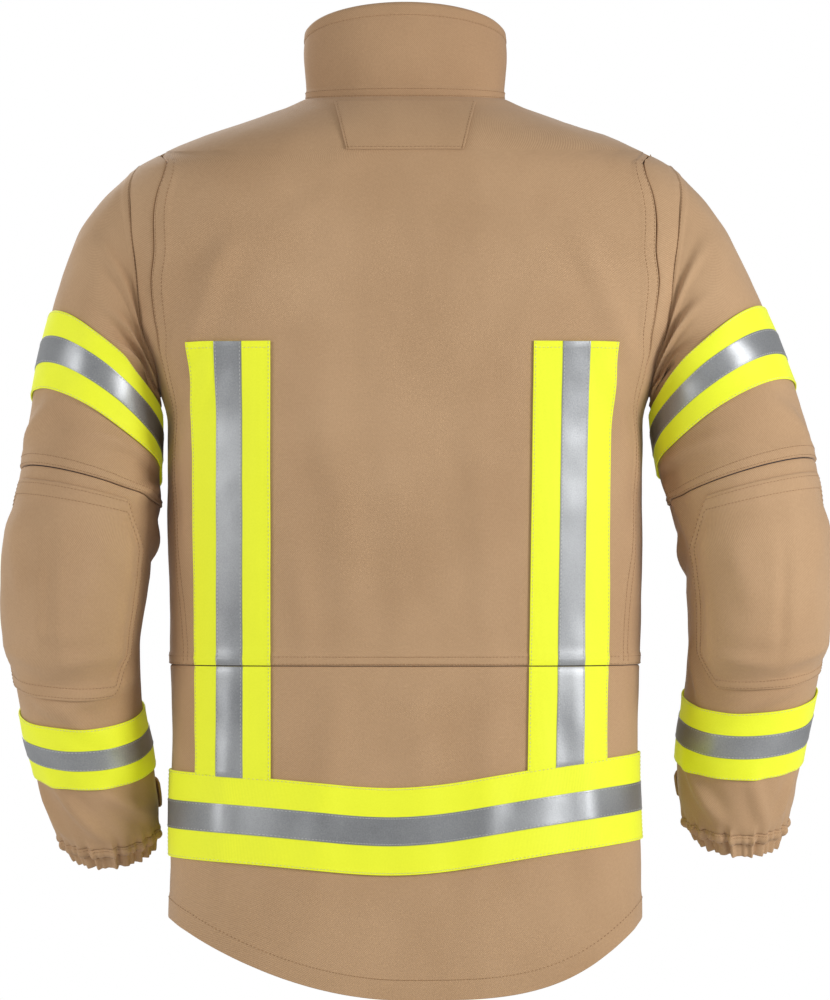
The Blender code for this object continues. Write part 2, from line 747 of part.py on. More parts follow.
def lower_stripe(side):
    """The lower length of a back stripe ends at the hem band, which is higher on the right."""
    def at(u, share):
        top = WAIST_SEAM - SEAM_GAP
        turn = back_stripe_turn(side, u, top)
        if side == "right":
            turn = math.pi - turn
        height = top + share * (hem_band_height(turn, 0) + LAYER_GAP - top)
        return back_stripe_turn(side, u, height), height
    return at if side == "left" else mirrored(at)


def front_stripe_at(u, share):
    """A front stripe ends above the pocket flap."""
    height = FRONT_STRIPE_TOP + share * (FRONT_STRIPE_BOTTOM - FRONT_STRIPE_TOP)
    start = turn_at(FRONT_STRIPE_INNER, height, front=True)
    return walk(start, height, u * TAPE_WIDTH), height


def back_band_at(u, share):
    """The hem band behind, from side line to side line."""
    turn = gap_turn() + u * (math.pi - 2 * gap_turn())
    return turn, hem_band_height(turn, share)


def front_band_at(u, share):
    """The hem band in front, from the side line to the storm flap."""
    last = turn_at(HEM_BAND_END, HEM_BAND_HEIGHT, front=True)
    turn = -gap_turn() + u * (last + gap_turn())
    return turn, hem_band_height(turn, share)


def build_tape():
    """Two stripes down the back, two on the chest and the band round the hem."""
    across = even(0, 1, cells_for(TAPE_WIDTH, TAPE_FACET))
    for side in ("left", "right"):
        sheet("back_stripe_" + side, torso, upper_stripe(side), across, even(0, 1, 7), TAPE,
              "yellow_tape")
        sheet("back_stripe_low_" + side, torso, lower_stripe(side), across, even(0, 1, 2), TAPE,
              "yellow_tape")
    down = even(0, 1, cells_for(TAPE_WIDTH, TAPE_ROW_FACET))
    both_sides("chest_stripe", torso, front_stripe_at, across, down, TAPE, "yellow_tape")
    behind = even(0, 1, cells_for(HALF_CHEST, SKIRT_FACET))
    sheet("hem_band_back", torso, back_band_at, behind, even(0, 1, 1), TAPE, "yellow_tape")
    before = even(0, 1, cells_for(HALF_CHEST, FRONT_FACET))
    both_sides("hem_band", torso, front_band_at, before, even(0, 1, 1), TAPE, "yellow_tape")


# ---- front closure -------------------------------------------------------------------------

def box_outline(first, last, layer):
    """A plain cross-section between two places across and two lifts."""
    return [(first, layer[0]), (last, layer[0]), (last, layer[1]), (first, layer[1])]


def build_closure():
    """The zip with its slider, and the storm flap with its hook and loop strips."""
    heights = even(ZIP_TOP, ZIP_BOTTOM, ZIP_ROWS)
    tape_in, tape_out = ZIP_TAPE
    for side, sign in (("left", 1), ("right", -1)):
        outline = [(ZIP_CENTRE_GAP, tape_in), (ZIP_TAPE_HALF_WIDTH, tape_in),
                   (ZIP_TAPE_HALF_WIDTH, tape_out), (TEETH_HALF_WIDTH, tape_out),
                   (TEETH_HALF_WIDTH, TEETH_TOP), (ZIP_CENTRE_GAP, TEETH_TOP)]
        prism("zip_half_" + side, [(sign * x, lift) for x, lift in outline], heights, "zip_tape")

    slider = [SLIDER_TOP, SLIDER_TOP - SLIDER_LENGTH]
    plate_in, plate_out = SLIDER_PLATE
    inner = SLIDER_HALF_WIDTH - SLIDER_FLANGE
    half = [(inner, plate_in), (inner, SLIDER_FLANGE_BOTTOM),
            (SLIDER_HALF_WIDTH, SLIDER_FLANGE_BOTTOM), (SLIDER_HALF_WIDTH, plate_out)]
    outline = half + [(-x, lift) for x, lift in reversed(half)]
    prism("zip_slider", outline, slider, "zinc_alloy")
    middle = sum(slider) / 2
    prism("zip_puller", box_outline(-PULLER_HALF_WIDTH, PULLER_HALF_WIDTH, PULLER),
          [middle, middle - PULLER_LENGTH], "zinc_alloy")

    flap_rows = even(STORM_FLAP_TOP, ZIP_BOTTOM, ZIP_ROWS)
    flap_in, flap_out = STORM_FLAP
    edge = STORM_FLAP_HALF_WIDTH
    root = [(-edge, flap_in), (edge - STORM_FLAP_ROOT, flap_in), (edge - STORM_FLAP_ROOT, LAYER_GAP),
            (edge, LAYER_GAP), (edge, flap_out), (-edge, flap_out)]
    prism("storm_flap", root, flap_rows, "shell_fabric")
    strips = even(STORM_FLAP_TOP - 0.012, ZIP_BOTTOM + 0.012, ZIP_ROWS)
    prism("storm_flap_loop", box_outline(*FLAP_STRIP, LOOP_STRIP), strips, "hook_and_loop")
    prism("storm_flap_hook", box_outline(*FLAP_STRIP, HOOK_STRIP), strips, "hook_and_loop")


# ---- pockets -------------------------------------------------------------------------------

def pocket_grid(start, width, first, last):
    """Places across and down a pocket, between two heights."""
    def at(u, share):
        height = first + share * (last - first)
        return walk(turn_at(start, height, front=True), height, u * width), height
    return at


def build_pocket(name, sizes, cells, mirror):
    """A patch pocket with its own depth: a box of cloth, open at its top."""
    start, width, top, bottom, depth = sizes
    wall = POCKET_WALL
    side = wall / width
    across = even(0, 1, cells)
    inside = [side] + across[1:-1] + [1 - side]
    outer_at = pocket_grid(start, width, top, bottom)
    hollow_at = pocket_grid(start, width, top + wall, bottom + wall)
    if mirror:
        outer_at = mirrored(outer_at)
        hollow_at = mirrored(hollow_at)
    pocket = sheet(name, torso, outer_at, across, even(0, 1, 3), (POCKET_GAP, depth), "shell_fabric")
    hollow = sheet(name + "_hollow", torso, hollow_at, inside, even(0, 1, 3),
                   (POCKET_GAP + wall, depth - wall), None)
    cut(pocket, hollow)


def build_pocket_flap(name, pocket, flap, cells, mirror):
    """A flap sewn above a pocket, folded over its mouth and down its face."""
    start, width, top, bottom, depth = pocket
    above, below = flap
    root = top + above
    margin = FLAP_MARGIN / width
    across = [-margin] + even(0, 1, cells) + [1 + margin]
    wide = [-3 * margin] + across[1:-1] + [1 + 3 * margin]
    face = depth + LAYER_GAP
    outer_at = pocket_grid(start, width, root, top - below)
    hollow_at = pocket_grid(start, width, root - FLAP_CLOTH, top - below - FLAP_CLOTH)
    if mirror:
        outer_at = mirrored(outer_at)
        hollow_at = mirrored(hollow_at)
    made = sheet(name, torso, outer_at, across, even(0, 1, 2), (POCKET_GAP, face + FLAP_CLOTH),
                 "shell_fabric")
    hollow = sheet(name + "_hollow", torso, hollow_at, wide, even(0, 1, 2), (-FLAP_CLOTH, face), None)
    cut(made, hollow)


def build_pockets():
    """Two pockets on the skirts and one for a radio on the left of the chest."""
    for side, mirror in (("left", False), ("right", True)):
        build_pocket("side_pocket_" + side, SIDE_POCKET, 5, mirror)
        build_pocket_flap("side_pocket_flap_" + side, SIDE_POCKET, SIDE_FLAP, 5, mirror)
    build_pocket("radio_pocket", RADIO_POCKET, 3, False)
    build_pocket_flap("radio_pocket_flap", RADIO_POCKET, RADIO_FLAP, 3, False)


# ---- small pieces --------------------------------------------------------------------------

def frame_on_chest(x, height, lift):
    """A frame that lies flat on the chest: X across, Y up the cloth and Z outwards."""
    turn = turn_at(x, height, front=True)
    point = torso(turn, height, lift)
    outward = (torso(turn, height, 1.0) - torso(turn, height, 0.0)).normalized()
    across = Vector((1, 0, 0))
    across = (across - outward * across.dot(outward)).normalized()
    up = outward.cross(across)
    place = Matrix((across, up, outward)).transposed().to_4x4()
    place.translation = point
    return place


def box(name, size, place, material_name):
    """A block of the given size, its centre and directions set by a matrix."""
    mesh = bmesh.new()
    bmesh.ops.create_cube(mesh, size=1, matrix=Matrix.Diagonal((*size, 1)))
    made = add_object(name, mesh, material_name)
    made.matrix_world = place
    return made


def wire_ring(name, points, radius, place, material_name):
    """A closed loop of round wire through points of its own frame."""
    curve = bpy.data.curves.new(name, "CURVE")
    curve.dimensions = "3D"
    curve.bevel_depth = radius
    curve.bevel_resolution = 1
    spline = curve.splines.new("POLY")
    spline.points.add(len(points) - 1)
    for knot, point in zip(spline.points, points):
        knot.co = (*point, 1.0)
    spline.use_cyclic_u = True
    curve.materials.append(material(material_name))
    made = bpy.data.objects.new(name, curve)
    bpy.context.scene.collection.objects.link(made)
    made.matrix_world = place
    return made


def d_outline(half_width, drop, corner):
    """A loop with a straight bar at the top and round lower corners, in its own X and Y."""
    points = [(-half_width, 0, 0), (half_width, 0, 0)]
    for quarter, centre_x in ((0, half_width - corner), (1, corner - half_width)):
        for step in range(5):
            angle = -math.pi / 2 * (quarter + step / 4)
            points.append((centre_x + corner * math.cos(angle),
                           -drop + corner + corner * math.sin(angle), 0))
    return points


def build_small_pieces():
    """The name field, the ring on its tab, and the loop to hang the coat by."""
    width, tall, thick = NAME_FIELD
    x, height = NAME_FIELD_AT
    lift = NAME_FIELD_CLEARANCE + thick / 2
    box("name_field", NAME_FIELD, frame_on_chest(x, height, lift), "hook_and_loop")

    width, tall, thick = RING_TAB
    x, height = RING_TAB_AT
    middle = LAYER_GAP + NAME_FIELD_CLEARANCE + thick / 2
    tab = box("ring_tab", RING_TAB, frame_on_chest(x, height, middle), "webbing")
    bore = RING_WIRE + RING_CLEARANCE
    bar = frame_on_chest(x, height, middle) @ Matrix.Translation((0, -tall / 2 + thick / 2, 0))
    mesh = bmesh.new()
    bmesh.ops.create_cone(mesh, cap_ends=True, segments=16, radius1=bore, radius2=bore,
                          depth=2 * width, matrix=Matrix.Rotation(math.pi / 2, 4, "Y"))
    hole = add_object("ring_tab_bore", mesh, None)
    hole.matrix_world = bar
    cut(tab, hole)
    wire_ring("d_ring", d_outline(RING_HALF_WIDTH, RING_DROP, RING_HALF_WIDTH * 0.9), RING_WIRE, bar,
              "zinc_alloy")

    y, height = LOOP_AT
    upright = Matrix.Translation((0, y, height)) @ Matrix.Rotation(math.pi / 2, 4, "X")
    wire_ring("hanger_loop", d_outline(LOOP_HALF_WIDTH, LOOP_DROP, LOOP_DROP * 0.6), LOOP_WIRE,
              upright, "webbing")


def main():
    """Clear the scene and build the coat."""
    for old in list(bpy.data.objects):
        bpy.data.objects.remove(old)
    cutters = [armhole_cutter("left"), armhole_cutter("right")]
    build_torso(cutters)
    build_liner(cutters)
    for side in ("left", "right"):
        build_sleeve(side)
    build_collar()
    build_tape()
    build_closure()
    build_pockets()
    build_small_pieces()


main()
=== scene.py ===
# %% [markdown]
# # A firefighter's turnout coat
# The coat stands in the shape that a body would give it. Its sewn pieces are thin sheets laid on smooth
# curved surfaces. A seam, a fold and a row of stitches are small lifts and beads on the same surfaces.

# %% Load the fixed frame
import math
from functools import lru_cache
import bmesh
import bpy
import numpy as np
from mathutils import Matrix, Vector, noise


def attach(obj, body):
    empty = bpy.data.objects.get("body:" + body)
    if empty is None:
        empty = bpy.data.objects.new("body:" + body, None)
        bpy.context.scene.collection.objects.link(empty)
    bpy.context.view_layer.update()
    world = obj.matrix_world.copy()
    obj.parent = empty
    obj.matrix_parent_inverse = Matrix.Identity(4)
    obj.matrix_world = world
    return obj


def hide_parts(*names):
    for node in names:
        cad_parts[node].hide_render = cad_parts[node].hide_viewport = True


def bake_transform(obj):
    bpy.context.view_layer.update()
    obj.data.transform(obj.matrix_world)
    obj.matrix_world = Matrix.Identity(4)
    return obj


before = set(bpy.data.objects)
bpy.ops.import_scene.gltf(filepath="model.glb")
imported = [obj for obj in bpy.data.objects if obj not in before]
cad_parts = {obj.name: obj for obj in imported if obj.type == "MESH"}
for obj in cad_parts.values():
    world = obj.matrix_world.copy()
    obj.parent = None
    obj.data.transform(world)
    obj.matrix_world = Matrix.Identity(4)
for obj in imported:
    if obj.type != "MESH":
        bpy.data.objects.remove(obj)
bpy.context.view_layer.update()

# %% [markdown]
# ## Where the viewer stands
# The coat is seen from behind, level with its middle, through a long lens, so that the near and far
# edges have almost the same scale.

# %% Camera
CAMERA_AT = Vector((-0.0086, 9.0, -0.347))
VIEW_HEIGHT = 0.862
BACK_OF_COAT = 0.09
SENSOR = 36.0
lens = bpy.data.cameras.new("camera")
lens.sensor_width = SENSOR
lens.lens = SENSOR * (CAMERA_AT.y - BACK_OF_COAT) / VIEW_HEIGHT
camera = bpy.data.objects.new("camera", lens)
camera.location = CAMERA_AT
camera.rotation_euler = (math.pi / 2, 0, math.pi)
bpy.context.scene.collection.objects.link(camera)
bpy.context.scene.camera = camera
print("focal length", round(lens.lens, 1), "mm")

# %% [markdown]
# ## A pale studio
# White paper below and white all round gives the soft, even light of a clothing shot. One broad lamp
# on the side of the wearer's right arm makes the folds readable, a weaker one fills the other side, and
# a third lights the front. The backdrop looks brighter to the camera than the light that it gives.

# %% Floor and light
FLOOR = -0.90
paper = bpy.data.materials.new("studio_paper")
paper.use_nodes = True
paper_shader = paper.node_tree.nodes["Principled BSDF"]
paper_shader.inputs["Base Color"].default_value = (0.74, 0.74, 0.74, 1)
paper_shader.inputs["Roughness"].default_value = 0.9
mesh = bmesh.new()
bmesh.ops.create_grid(mesh, x_segments=1, y_segments=1, size=2.4,
                      matrix=Matrix.Translation((0, 0, FLOOR)))
data = bpy.data.meshes.new("floor")
mesh.to_mesh(data)
mesh.free()
data.materials.append(paper)
floor = bpy.data.objects.new("floor", data)
bpy.context.scene.collection.objects.link(floor)

world = bpy.data.worlds.new("studio")
world.use_nodes = True
sky = world.node_tree.nodes["Background"]
sky.inputs["Color"].default_value = (1, 1, 1, 1)
ray = world.node_tree.nodes.new("ShaderNodeLightPath")
strength = world.node_tree.nodes.new("ShaderNodeMapRange")
strength.inputs["To Min"].default_value = 0.42
strength.inputs["To Max"].default_value = 1.0
world.node_tree.links.new(ray.outputs["Is Camera Ray"], strength.inputs["Value"])
world.node_tree.links.new(strength.outputs["Result"], sky.inputs["Strength"])
bpy.context.scene.world = world
bpy.context.scene.view_settings.view_transform = "Standard"


def lamp(name, place, aim, size, power):
    """A square soft box."""
    light = bpy.data.lights.new(name, "AREA")
    light.size = size
    light.energy = power
    made = bpy.data.objects.new(name, light)
    made.location = place
    made.rotation_euler = (Vector(aim) - Vector(place)).to_track_quat("-Z", "Y").to_euler()
    bpy.context.scene.collection.objects.link(made)
    return made


COAT_MIDDLE = (0, 0, -0.35)
lamp("key_light", (-2.1, 1.5, 0.1), COAT_MIDDLE, 0.8, 40)
lamp("fill_light", (2.3, 1.2, 0.1), COAT_MIDDLE, 1.0, 22)
lamp("front_light", (0.9, -2.2, 0.9), COAT_MIDDLE, 1.2, 30)
print("floor at", FLOOR)

# %% [markdown]
# ## The coat's measures
# These are the sizes that the cutter works from, in metres. Height is measured from the back neck seam.
# They are the same sizes as in the solid model, because every visible piece has to lie where its
# solid lies.

# %% Sizes of the body
HALF_CHEST = 0.262
BACK_DEPTH = 0.127
NECK_HALF_WIDTH = 0.086
NECK_BACK = 0.074
NECK_FRONT = 0.080
WAIST_SEAM = -0.490
HEM = -0.710
TAIL_DROP = 0.067
TAIL_CURVES = (1.9, 3.4)
FRONT_ARC_RADIUS = 2.6
FRONT_ARC_Y = 2.441
FRONT_ARC_Z = -0.70
FRONT_EDGE = 0.008
SHOULDER_POINT = -0.0475
TORSO_RINGS = (
    # height, share of the way from neck to chest width, the same for depth, squareness
    (0.010, -0.150, -0.400, 2.00), (0.002, 0.000, 0.000, 2.00), (-0.006, 0.102, 0.208, 2.00),
    (-0.017, 0.278, 0.415, 2.10), (-0.029, 0.483, 0.585, 2.20), (-0.042, 0.659, 0.698, 2.30),
    (-0.058, 0.830, 0.774, 2.40), (-0.085, 0.955, 0.849, 2.55), (-0.130, 1.000, 0.943, 2.80),
    (-0.190, 0.943, 1.000, 2.80), (-0.230, 0.785, 1.000, 2.80), (-0.270, 0.693, 0.990, 2.75),
    (-0.300, 0.685, 0.962, 2.70), (-0.380, 0.685, 0.849, 2.60), (-0.480, 0.673, 0.698, 2.50),
    (-0.560, 0.662, 0.717, 2.50), (-0.640, 0.673, 0.830, 2.50), (-0.710, 0.679, 0.906, 2.50),
    (-0.790, 0.690, 0.950, 2.50),
)
BACK_SEAM = (
    # height, share of the half width at which the action-back seam runs
    (-0.0475, 1.000), (-0.052, 0.928), (-0.058, 0.891), (-0.071, 0.857), (-0.098, 0.839),
    (-0.130, 0.826), (-0.155, 0.841), (-0.197, 0.864), (-0.227, 0.928), (-0.300, 0.975),
    (-0.430, 0.948), (-0.490, 0.940),
)

# %% Sizes of the sleeves
ARMHOLE_HEIGHT = -0.155
ARMHOLE_HALF_HEIGHT = 0.100
ARMHOLE_HALF_DEPTH = 0.080
SLEEVE_FADE = 2.5
ELBOW_SEAM = 5.0
CUFF_SEAM = 10.2
SLEEVE_END = 11.0
SLEEVE_STATIONS = {
    # outer edge: distance outside the armhole's top and height;
    # inner edge: clearance to the torso's side and height
    "left": ((0.0015, -0.055, 0.0010, -0.255), (0.0325, -0.083, 0.0030, -0.262),
             (0.0595, -0.123, 0.0045, -0.267), (0.0795, -0.188, 0.0055, -0.273),
             (0.0965, -0.262, 0.0065, -0.331), (0.1065, -0.320, 0.0070, -0.353),
             (0.1170, -0.400, 0.0150, -0.410), (0.1160, -0.465, 0.0263, -0.470),
             (0.1075, -0.530, 0.0258, -0.528), (0.0950, -0.583, 0.0174, -0.578),
             (0.0785, -0.632, 0.0110, -0.625), (0.0605, -0.655, 0.0173, -0.650)),
    "right": ((0.0015, -0.055, 0.0010, -0.255), (0.0295, -0.083, 0.0030, -0.262),
              (0.0565, -0.123, 0.0045, -0.267), (0.0835, -0.184, 0.0065, -0.273),
              (0.1115, -0.254, 0.0145, -0.324), (0.1295, -0.313, 0.0235, -0.351),
              (0.1370, -0.400, 0.0370, -0.410), (0.1345, -0.465, 0.0413, -0.470),
              (0.1300, -0.513, 0.0400, -0.517), (0.1175, -0.572, 0.0354, -0.572),
              (0.1085, -0.618, 0.0365, -0.615), (0.0955, -0.645, 0.0517, -0.640)),
}
SLEEVE_DEPTHS = (
    # forward or backward shift, half depth, forward tilt in degrees
    (0.000, 0.080, 0), (0.000, 0.082, -5), (0.001, 0.084, -12), (0.003, 0.084, -18),
    (0.006, 0.081, -18), (0.010, 0.079, -8), (0.010, 0.078, 3), (0.003, 0.076, 9),
    (-0.010, 0.072, 13), (-0.022, 0.068, 15), (-0.030, 0.062, 15), (-0.036, 0.052, 15),
)

# %% Sizes of the collar, tape, closure and pockets
COLLAR_HEIGHT = 0.083
COLLAR_SLOPE = 0.333
COLLAR_TOP_HALF_WIDTH = 0.087
COLLAR_TOP_BACK = 0.076
COLLAR_TOP_FRONT = 0.078
COLLAR_BULGE = 0.0025
COLLAR_SLIT = 0.009
COLLAR_LIFT = 0.0015
TAPE_WIDTH = 0.075
BACK_STRIPE_INNER = {"left": (0.1155, 0.1155), "right": (0.1105, 0.1050)}
BACK_STRIPE_TOP = -0.210
FRONT_STRIPE_INNER = 0.118
FRONT_STRIPE_TOP = -0.205
FRONT_STRIPE_BOTTOM = -0.352
HEM_BAND_HEIGHT = -0.6110
HEM_BAND_SAG = 0.021
HEM_BAND_TILT = 0.0075
HEM_BAND_END = 0.040
UPPER_BAND = (3.04, 3.95)
LOWER_BAND = (8.0, 9.0)
print("chest girth about", round(4 * HALF_CHEST * 1.15, 2), "m")

# %% [markdown]
# ## Smooth surfaces to sew on
# A pattern piece is flat, but the coat isn't. Here a few functions turn two numbers, such as an angle
# and a height, into a place on the coat and the direction straight out of it. Every piece asks the same
# functions, so tape, thread and cloth follow one another exactly.

# %% Curves through a few known sizes
def smooth_keys(keys, at):
    """Values at a position on a smooth curve through rows that start with a position."""
    rows = sorted(keys)
    at = min(max(at, rows[0][0]), rows[-1][0])
    last = 1
    while rows[last][0] < at:
        last += 1
    span = rows[last][0] - rows[last - 1][0]
    share = (at - rows[last - 1][0]) / span

    def slope(index, column):
        before = rows[max(index - 1, 0)]
        after = rows[min(index + 1, len(rows) - 1)]
        return (after[column] - before[column]) / (after[0] - before[0])

    values = []
    for column in range(1, len(rows[0])):
        start = rows[last - 1][column]
        end = rows[last][column]
        leaving = slope(last - 1, column) * span
        arriving = slope(last, column) * span
        rise = 3 * share ** 2 - 2 * share ** 3
        values.append(start + rise * (end - start) + (share ** 3 - 2 * share ** 2 + share) * leaving
                      + (share ** 3 - share ** 2) * arriving)
    return values


def even(first, last, cells):
    """Evenly spaced values, both ends included."""
    return [first + (last - first) * index / cells for index in range(cells + 1)]


def ease(value, first, last):
    """0 before first, 1 after last, and a soft step between."""
    share = min(max((value - first) / (last - first), 0.0), 1.0)
    return share * share * (3 - 2 * share)


# %% The body's skin
@lru_cache(maxsize=None)
def torso_sizes(height):
    """Half width, depth behind, depth in front and squareness of the torso at a height."""
    width_share, depth_share, power = smooth_keys(TORSO_RINGS, height)
    half_width = NECK_HALF_WIDTH + width_share * (HALF_CHEST - NECK_HALF_WIDTH)
    back = NECK_BACK + depth_share * (BACK_DEPTH - NECK_BACK)
    front = math.sqrt(FRONT_ARC_RADIUS ** 2 - (height - FRONT_ARC_Z) ** 2) - FRONT_ARC_Y
    return half_width, back, front, power


def torso_skin(turn, height):
    """Point on the torso at an angle: 0 is the wearer's left, 90 degrees the back."""
    half_width, back, front, power = torso_sizes(height)
    across, deep = math.cos(turn), math.sin(turn)
    depth = back if deep > 0 else front
    share = abs(across / half_width) ** power + abs(deep / depth) ** power
    radius = share ** (-1 / power)
    return Vector((radius * across, radius * deep, height))


def turn_at(x, height, front=False):
    """Angle of the skin's point that lies at x on the torso's back or front."""
    half_width, back, front_depth, power = torso_sizes(height)
    share = min(abs(x) / half_width, 1.0)
    depth = (1 - share ** power) ** (1 / power)
    y = -front_depth * depth if front else back * depth
    return math.atan2(y, x)


def walk(turn, height, distance):
    """Angle reached by walking a distance along the skin at one height."""
    steps = 12
    small = 0.0005
    for _ in range(steps):
        across = torso_skin(turn + small, height) - torso_skin(turn - small, height)
        turn += distance / steps * 2 * small / across.length
    return turn


def side_x(y, height):
    """Half width of the torso at a place along Y."""
    half_width, back, front, power = torso_sizes(height)
    depth = back if y > 0 else front
    share = min(abs(y) / depth, 1.0)
    return half_width * (1 - share ** power) ** (1 / power)


@lru_cache(maxsize=None)
def seam_turn(height):
    """Angle of the action-back seam, from the shoulder point to the waist."""
    if height >= SHOULDER_POINT:
        return 0.0
    half_width, back, front, power = torso_sizes(height)
    share = min(smooth_keys(BACK_SEAM, height)[0], 0.999)
    return math.atan2(back * (1 - share ** power) ** (1 / power), share * half_width)


# %% The neck and the collar
def neck_radius(turn):
    """Radius of the neck opening."""
    depth = NECK_BACK if math.sin(turn) > 0 else NECK_FRONT
    return 1 / math.hypot(math.cos(turn) / NECK_HALF_WIDTH, math.sin(turn) / depth)


@lru_cache(maxsize=None)
def neckline(turn):
    """Height at which the torso's skin meets the neck opening."""
    low, high = -0.300, 0.009
    for _ in range(30):
        middle = (low + high) / 2
        point = torso_skin(turn, middle)
        if math.hypot(point.x, point.y) > neck_radius(turn):
            low = middle
        else:
            high = middle
    return (low + high) / 2


def collar_skin(turn, rise):
    """Point on the collar, from the neckline (0) to its top edge (1), which tilts forward."""
    base_radius = neck_radius(turn)
    base = Vector((base_radius * math.cos(turn), base_radius * math.sin(turn),
                   neckline(turn) + COLLAR_LIFT))
    depth = COLLAR_TOP_BACK if math.sin(turn) > 0 else COLLAR_TOP_FRONT
    radius = 1 / math.hypot(math.cos(turn) / COLLAR_TOP_HALF_WIDTH, math.sin(turn) / depth)
    radius += COLLAR_BULGE * math.sin(math.pi * rise)
    top = Vector((radius * math.cos(turn), radius * math.sin(turn), 0))
    top.z = COLLAR_HEIGHT - COLLAR_SLOPE * (COLLAR_TOP_BACK - top.y)
    return base.lerp(top, rise)


def rail(x, height, lift):
    """Point on the front closure, which is flat across and follows the front arc along."""
    rise = math.asin((height - FRONT_ARC_Z) / FRONT_ARC_RADIUS)
    radius = FRONT_ARC_RADIUS + lift
    return Vector((x, FRONT_ARC_Y - radius * math.cos(rise), FRONT_ARC_Z + radius * math.sin(rise)))


# %% The sleeves
def armhole_point(turn):
    """Point on the armhole's edge, on the torso's skin."""
    y = ARMHOLE_HALF_DEPTH * math.sin(turn)
    z = ARMHOLE_HEIGHT + ARMHOLE_HALF_HEIGHT * math.cos(turn)
    return Vector((side_x(y, z), y, z))


@lru_cache(maxsize=None)
def sleeve_sizes(side, station):
    """Middle, half width vector and half depth vector of a sleeve's ring."""
    rows = [(index,) + edges + SLEEVE_DEPTHS[index]
            for index, edges in enumerate(SLEEVE_STATIONS[side])]
    beyond, outer_z, gap, inner_z, shift, depth, tilt = smooth_keys(rows, station)
    outer_x = torso_sizes(ARMHOLE_HEIGHT + ARMHOLE_HALF_HEIGHT)[0] + beyond
    inner_x = torso_sizes(inner_z)[0] + gap
    tilt = math.radians(tilt)
    return (Vector(((outer_x + inner_x) / 2, shift, (outer_z + inner_z) / 2)),
            Vector(((outer_x - inner_x) / 2, 0, (outer_z - inner_z) / 2)),
            Vector((0, depth * math.cos(tilt), -depth * math.sin(tilt))))


def sleeve_ring(side, turn, station):
    """Point on the sleeve's plain tube: 0 is its outer edge and 90 degrees its back."""
    middle, half, deep = sleeve_sizes(side, station)
    return middle + half * math.cos(turn) + deep * math.sin(turn)


def sleeve_skin(side, turn, station):
    """Point on a left-hand sleeve, whose first ring is bent to lie in the armhole."""
    point = sleeve_ring(side, turn, station)
    if station < SLEEVE_FADE:
        share = (1 - max(station, 0) / SLEEVE_FADE) ** 2
        point += (armhole_point(turn) - sleeve_ring(side, turn, 0)) * share
    return point


print("neck seam behind at", round(neckline(math.pi / 2), 4))

# %% [markdown]
# ## Finishes
# Each finish is a small tree of nodes on one shader. Woven cloth is drawn in the piece's own cloth
# measures, its UV map in metres, so a thread keeps its width on every piece. Twill of the real coat has
# three wales to a millimetre; here a wale is 1.3 mm, because a finer one would vanish at arm's length.

# %% Node helpers
def linear(code):
    """A linear colour from a six-digit sRGB code."""
    parts = [int(code[index:index + 2], 16) / 255 for index in (1, 3, 5)]
    return tuple(part / 12.92 if part <= 0.04045 else ((part + 0.055) / 1.055) ** 2.4
                 for part in parts) + (1.0,)


def add_node(tree, kind, inputs=None, **settings):
    """Add a node, set its properties, and fill or link its inputs."""
    node = tree.nodes.new("ShaderNode" + kind)
    for key, value in settings.items():
        setattr(node, key, value)
    for key, value in (inputs or {}).items():
        if isinstance(value, bpy.types.NodeSocket):
            tree.links.new(value, node.inputs[key])
        else:
            node.inputs[key].default_value = value
    return node


def shader_of(name, roughness, metallic=0.0, sheen=0.0):
    """A new material; the values that are the same all over sit on the shader itself."""
    made = bpy.data.materials.new(name)
    made.use_nodes = True
    shader = made.node_tree.nodes["Principled BSDF"]
    shader.inputs["Roughness"].default_value = roughness
    shader.inputs["Metallic"].default_value = metallic
    shader.inputs["Sheen Weight"].default_value = sheen
    shader.inputs["Sheen Roughness"].default_value = 0.45
    return made, made.node_tree, shader


def weave(name, light, dark, wale, roughness=0.85, sheen=0.15, bump=0.35, pattern="DIAGONAL",
          cloudy=0.5, coordinates="UV"):
    """Woven cloth: ribs of the weave, flecks of single threads and a cloudy tone from the dye."""
    made, tree, shader = shader_of(name, roughness, sheen=sheen)
    place = add_node(tree, "TexCoord").outputs[coordinates]
    slant = math.sqrt(2) if pattern == "DIAGONAL" else 2
    rib = 2 * math.pi / (10 * wale * slant)
    ribs = add_node(tree, "TexWave", {"Vector": place, "Scale": rib, "Distortion": 0.6, "Detail": 1.0},
                    wave_type="BANDS", bands_direction=pattern).outputs["Fac"]
    flecks = add_node(tree, "TexNoise",
                      {"Vector": place, "Scale": 0.55 / wale, "Detail": 2.0}).outputs["Fac"]
    body = add_node(tree, "TexCoord").outputs["Object"]
    clouds = add_node(tree, "TexNoise", {"Vector": body, "Scale": 9.0, "Detail": 3.0}).outputs["Fac"]
    threads = add_node(tree, "Mix", {"Factor": 0.45, "A": ribs, "B": flecks}).outputs["Result"]
    tone = add_node(tree, "Mix", {"Factor": cloudy, "A": threads, "B": clouds}).outputs["Result"]
    colour = add_node(tree, "ValToRGB", {"Fac": tone})
    colour.color_ramp.elements[0].position = 0.25
    colour.color_ramp.elements[0].color = linear(dark)
    colour.color_ramp.elements[1].position = 0.75
    colour.color_ramp.elements[1].color = linear(light)
    tree.links.new(colour.outputs["Color"], shader.inputs["Base Color"])
    raised = add_node(tree, "Bump", {"Height": threads, "Strength": bump, "Distance": wale / 4})
    tree.links.new(raised.outputs["Normal"], shader.inputs["Normal"])
    return made


# %% [markdown]
# ### Shell cloth and its threads
# The shell is a matt aramid twill, dyed golden tan. Its wales only just show; what the eye reads is a
# dry, even surface with a slightly cloudy tone. The thread is a shade darker than the cloth.

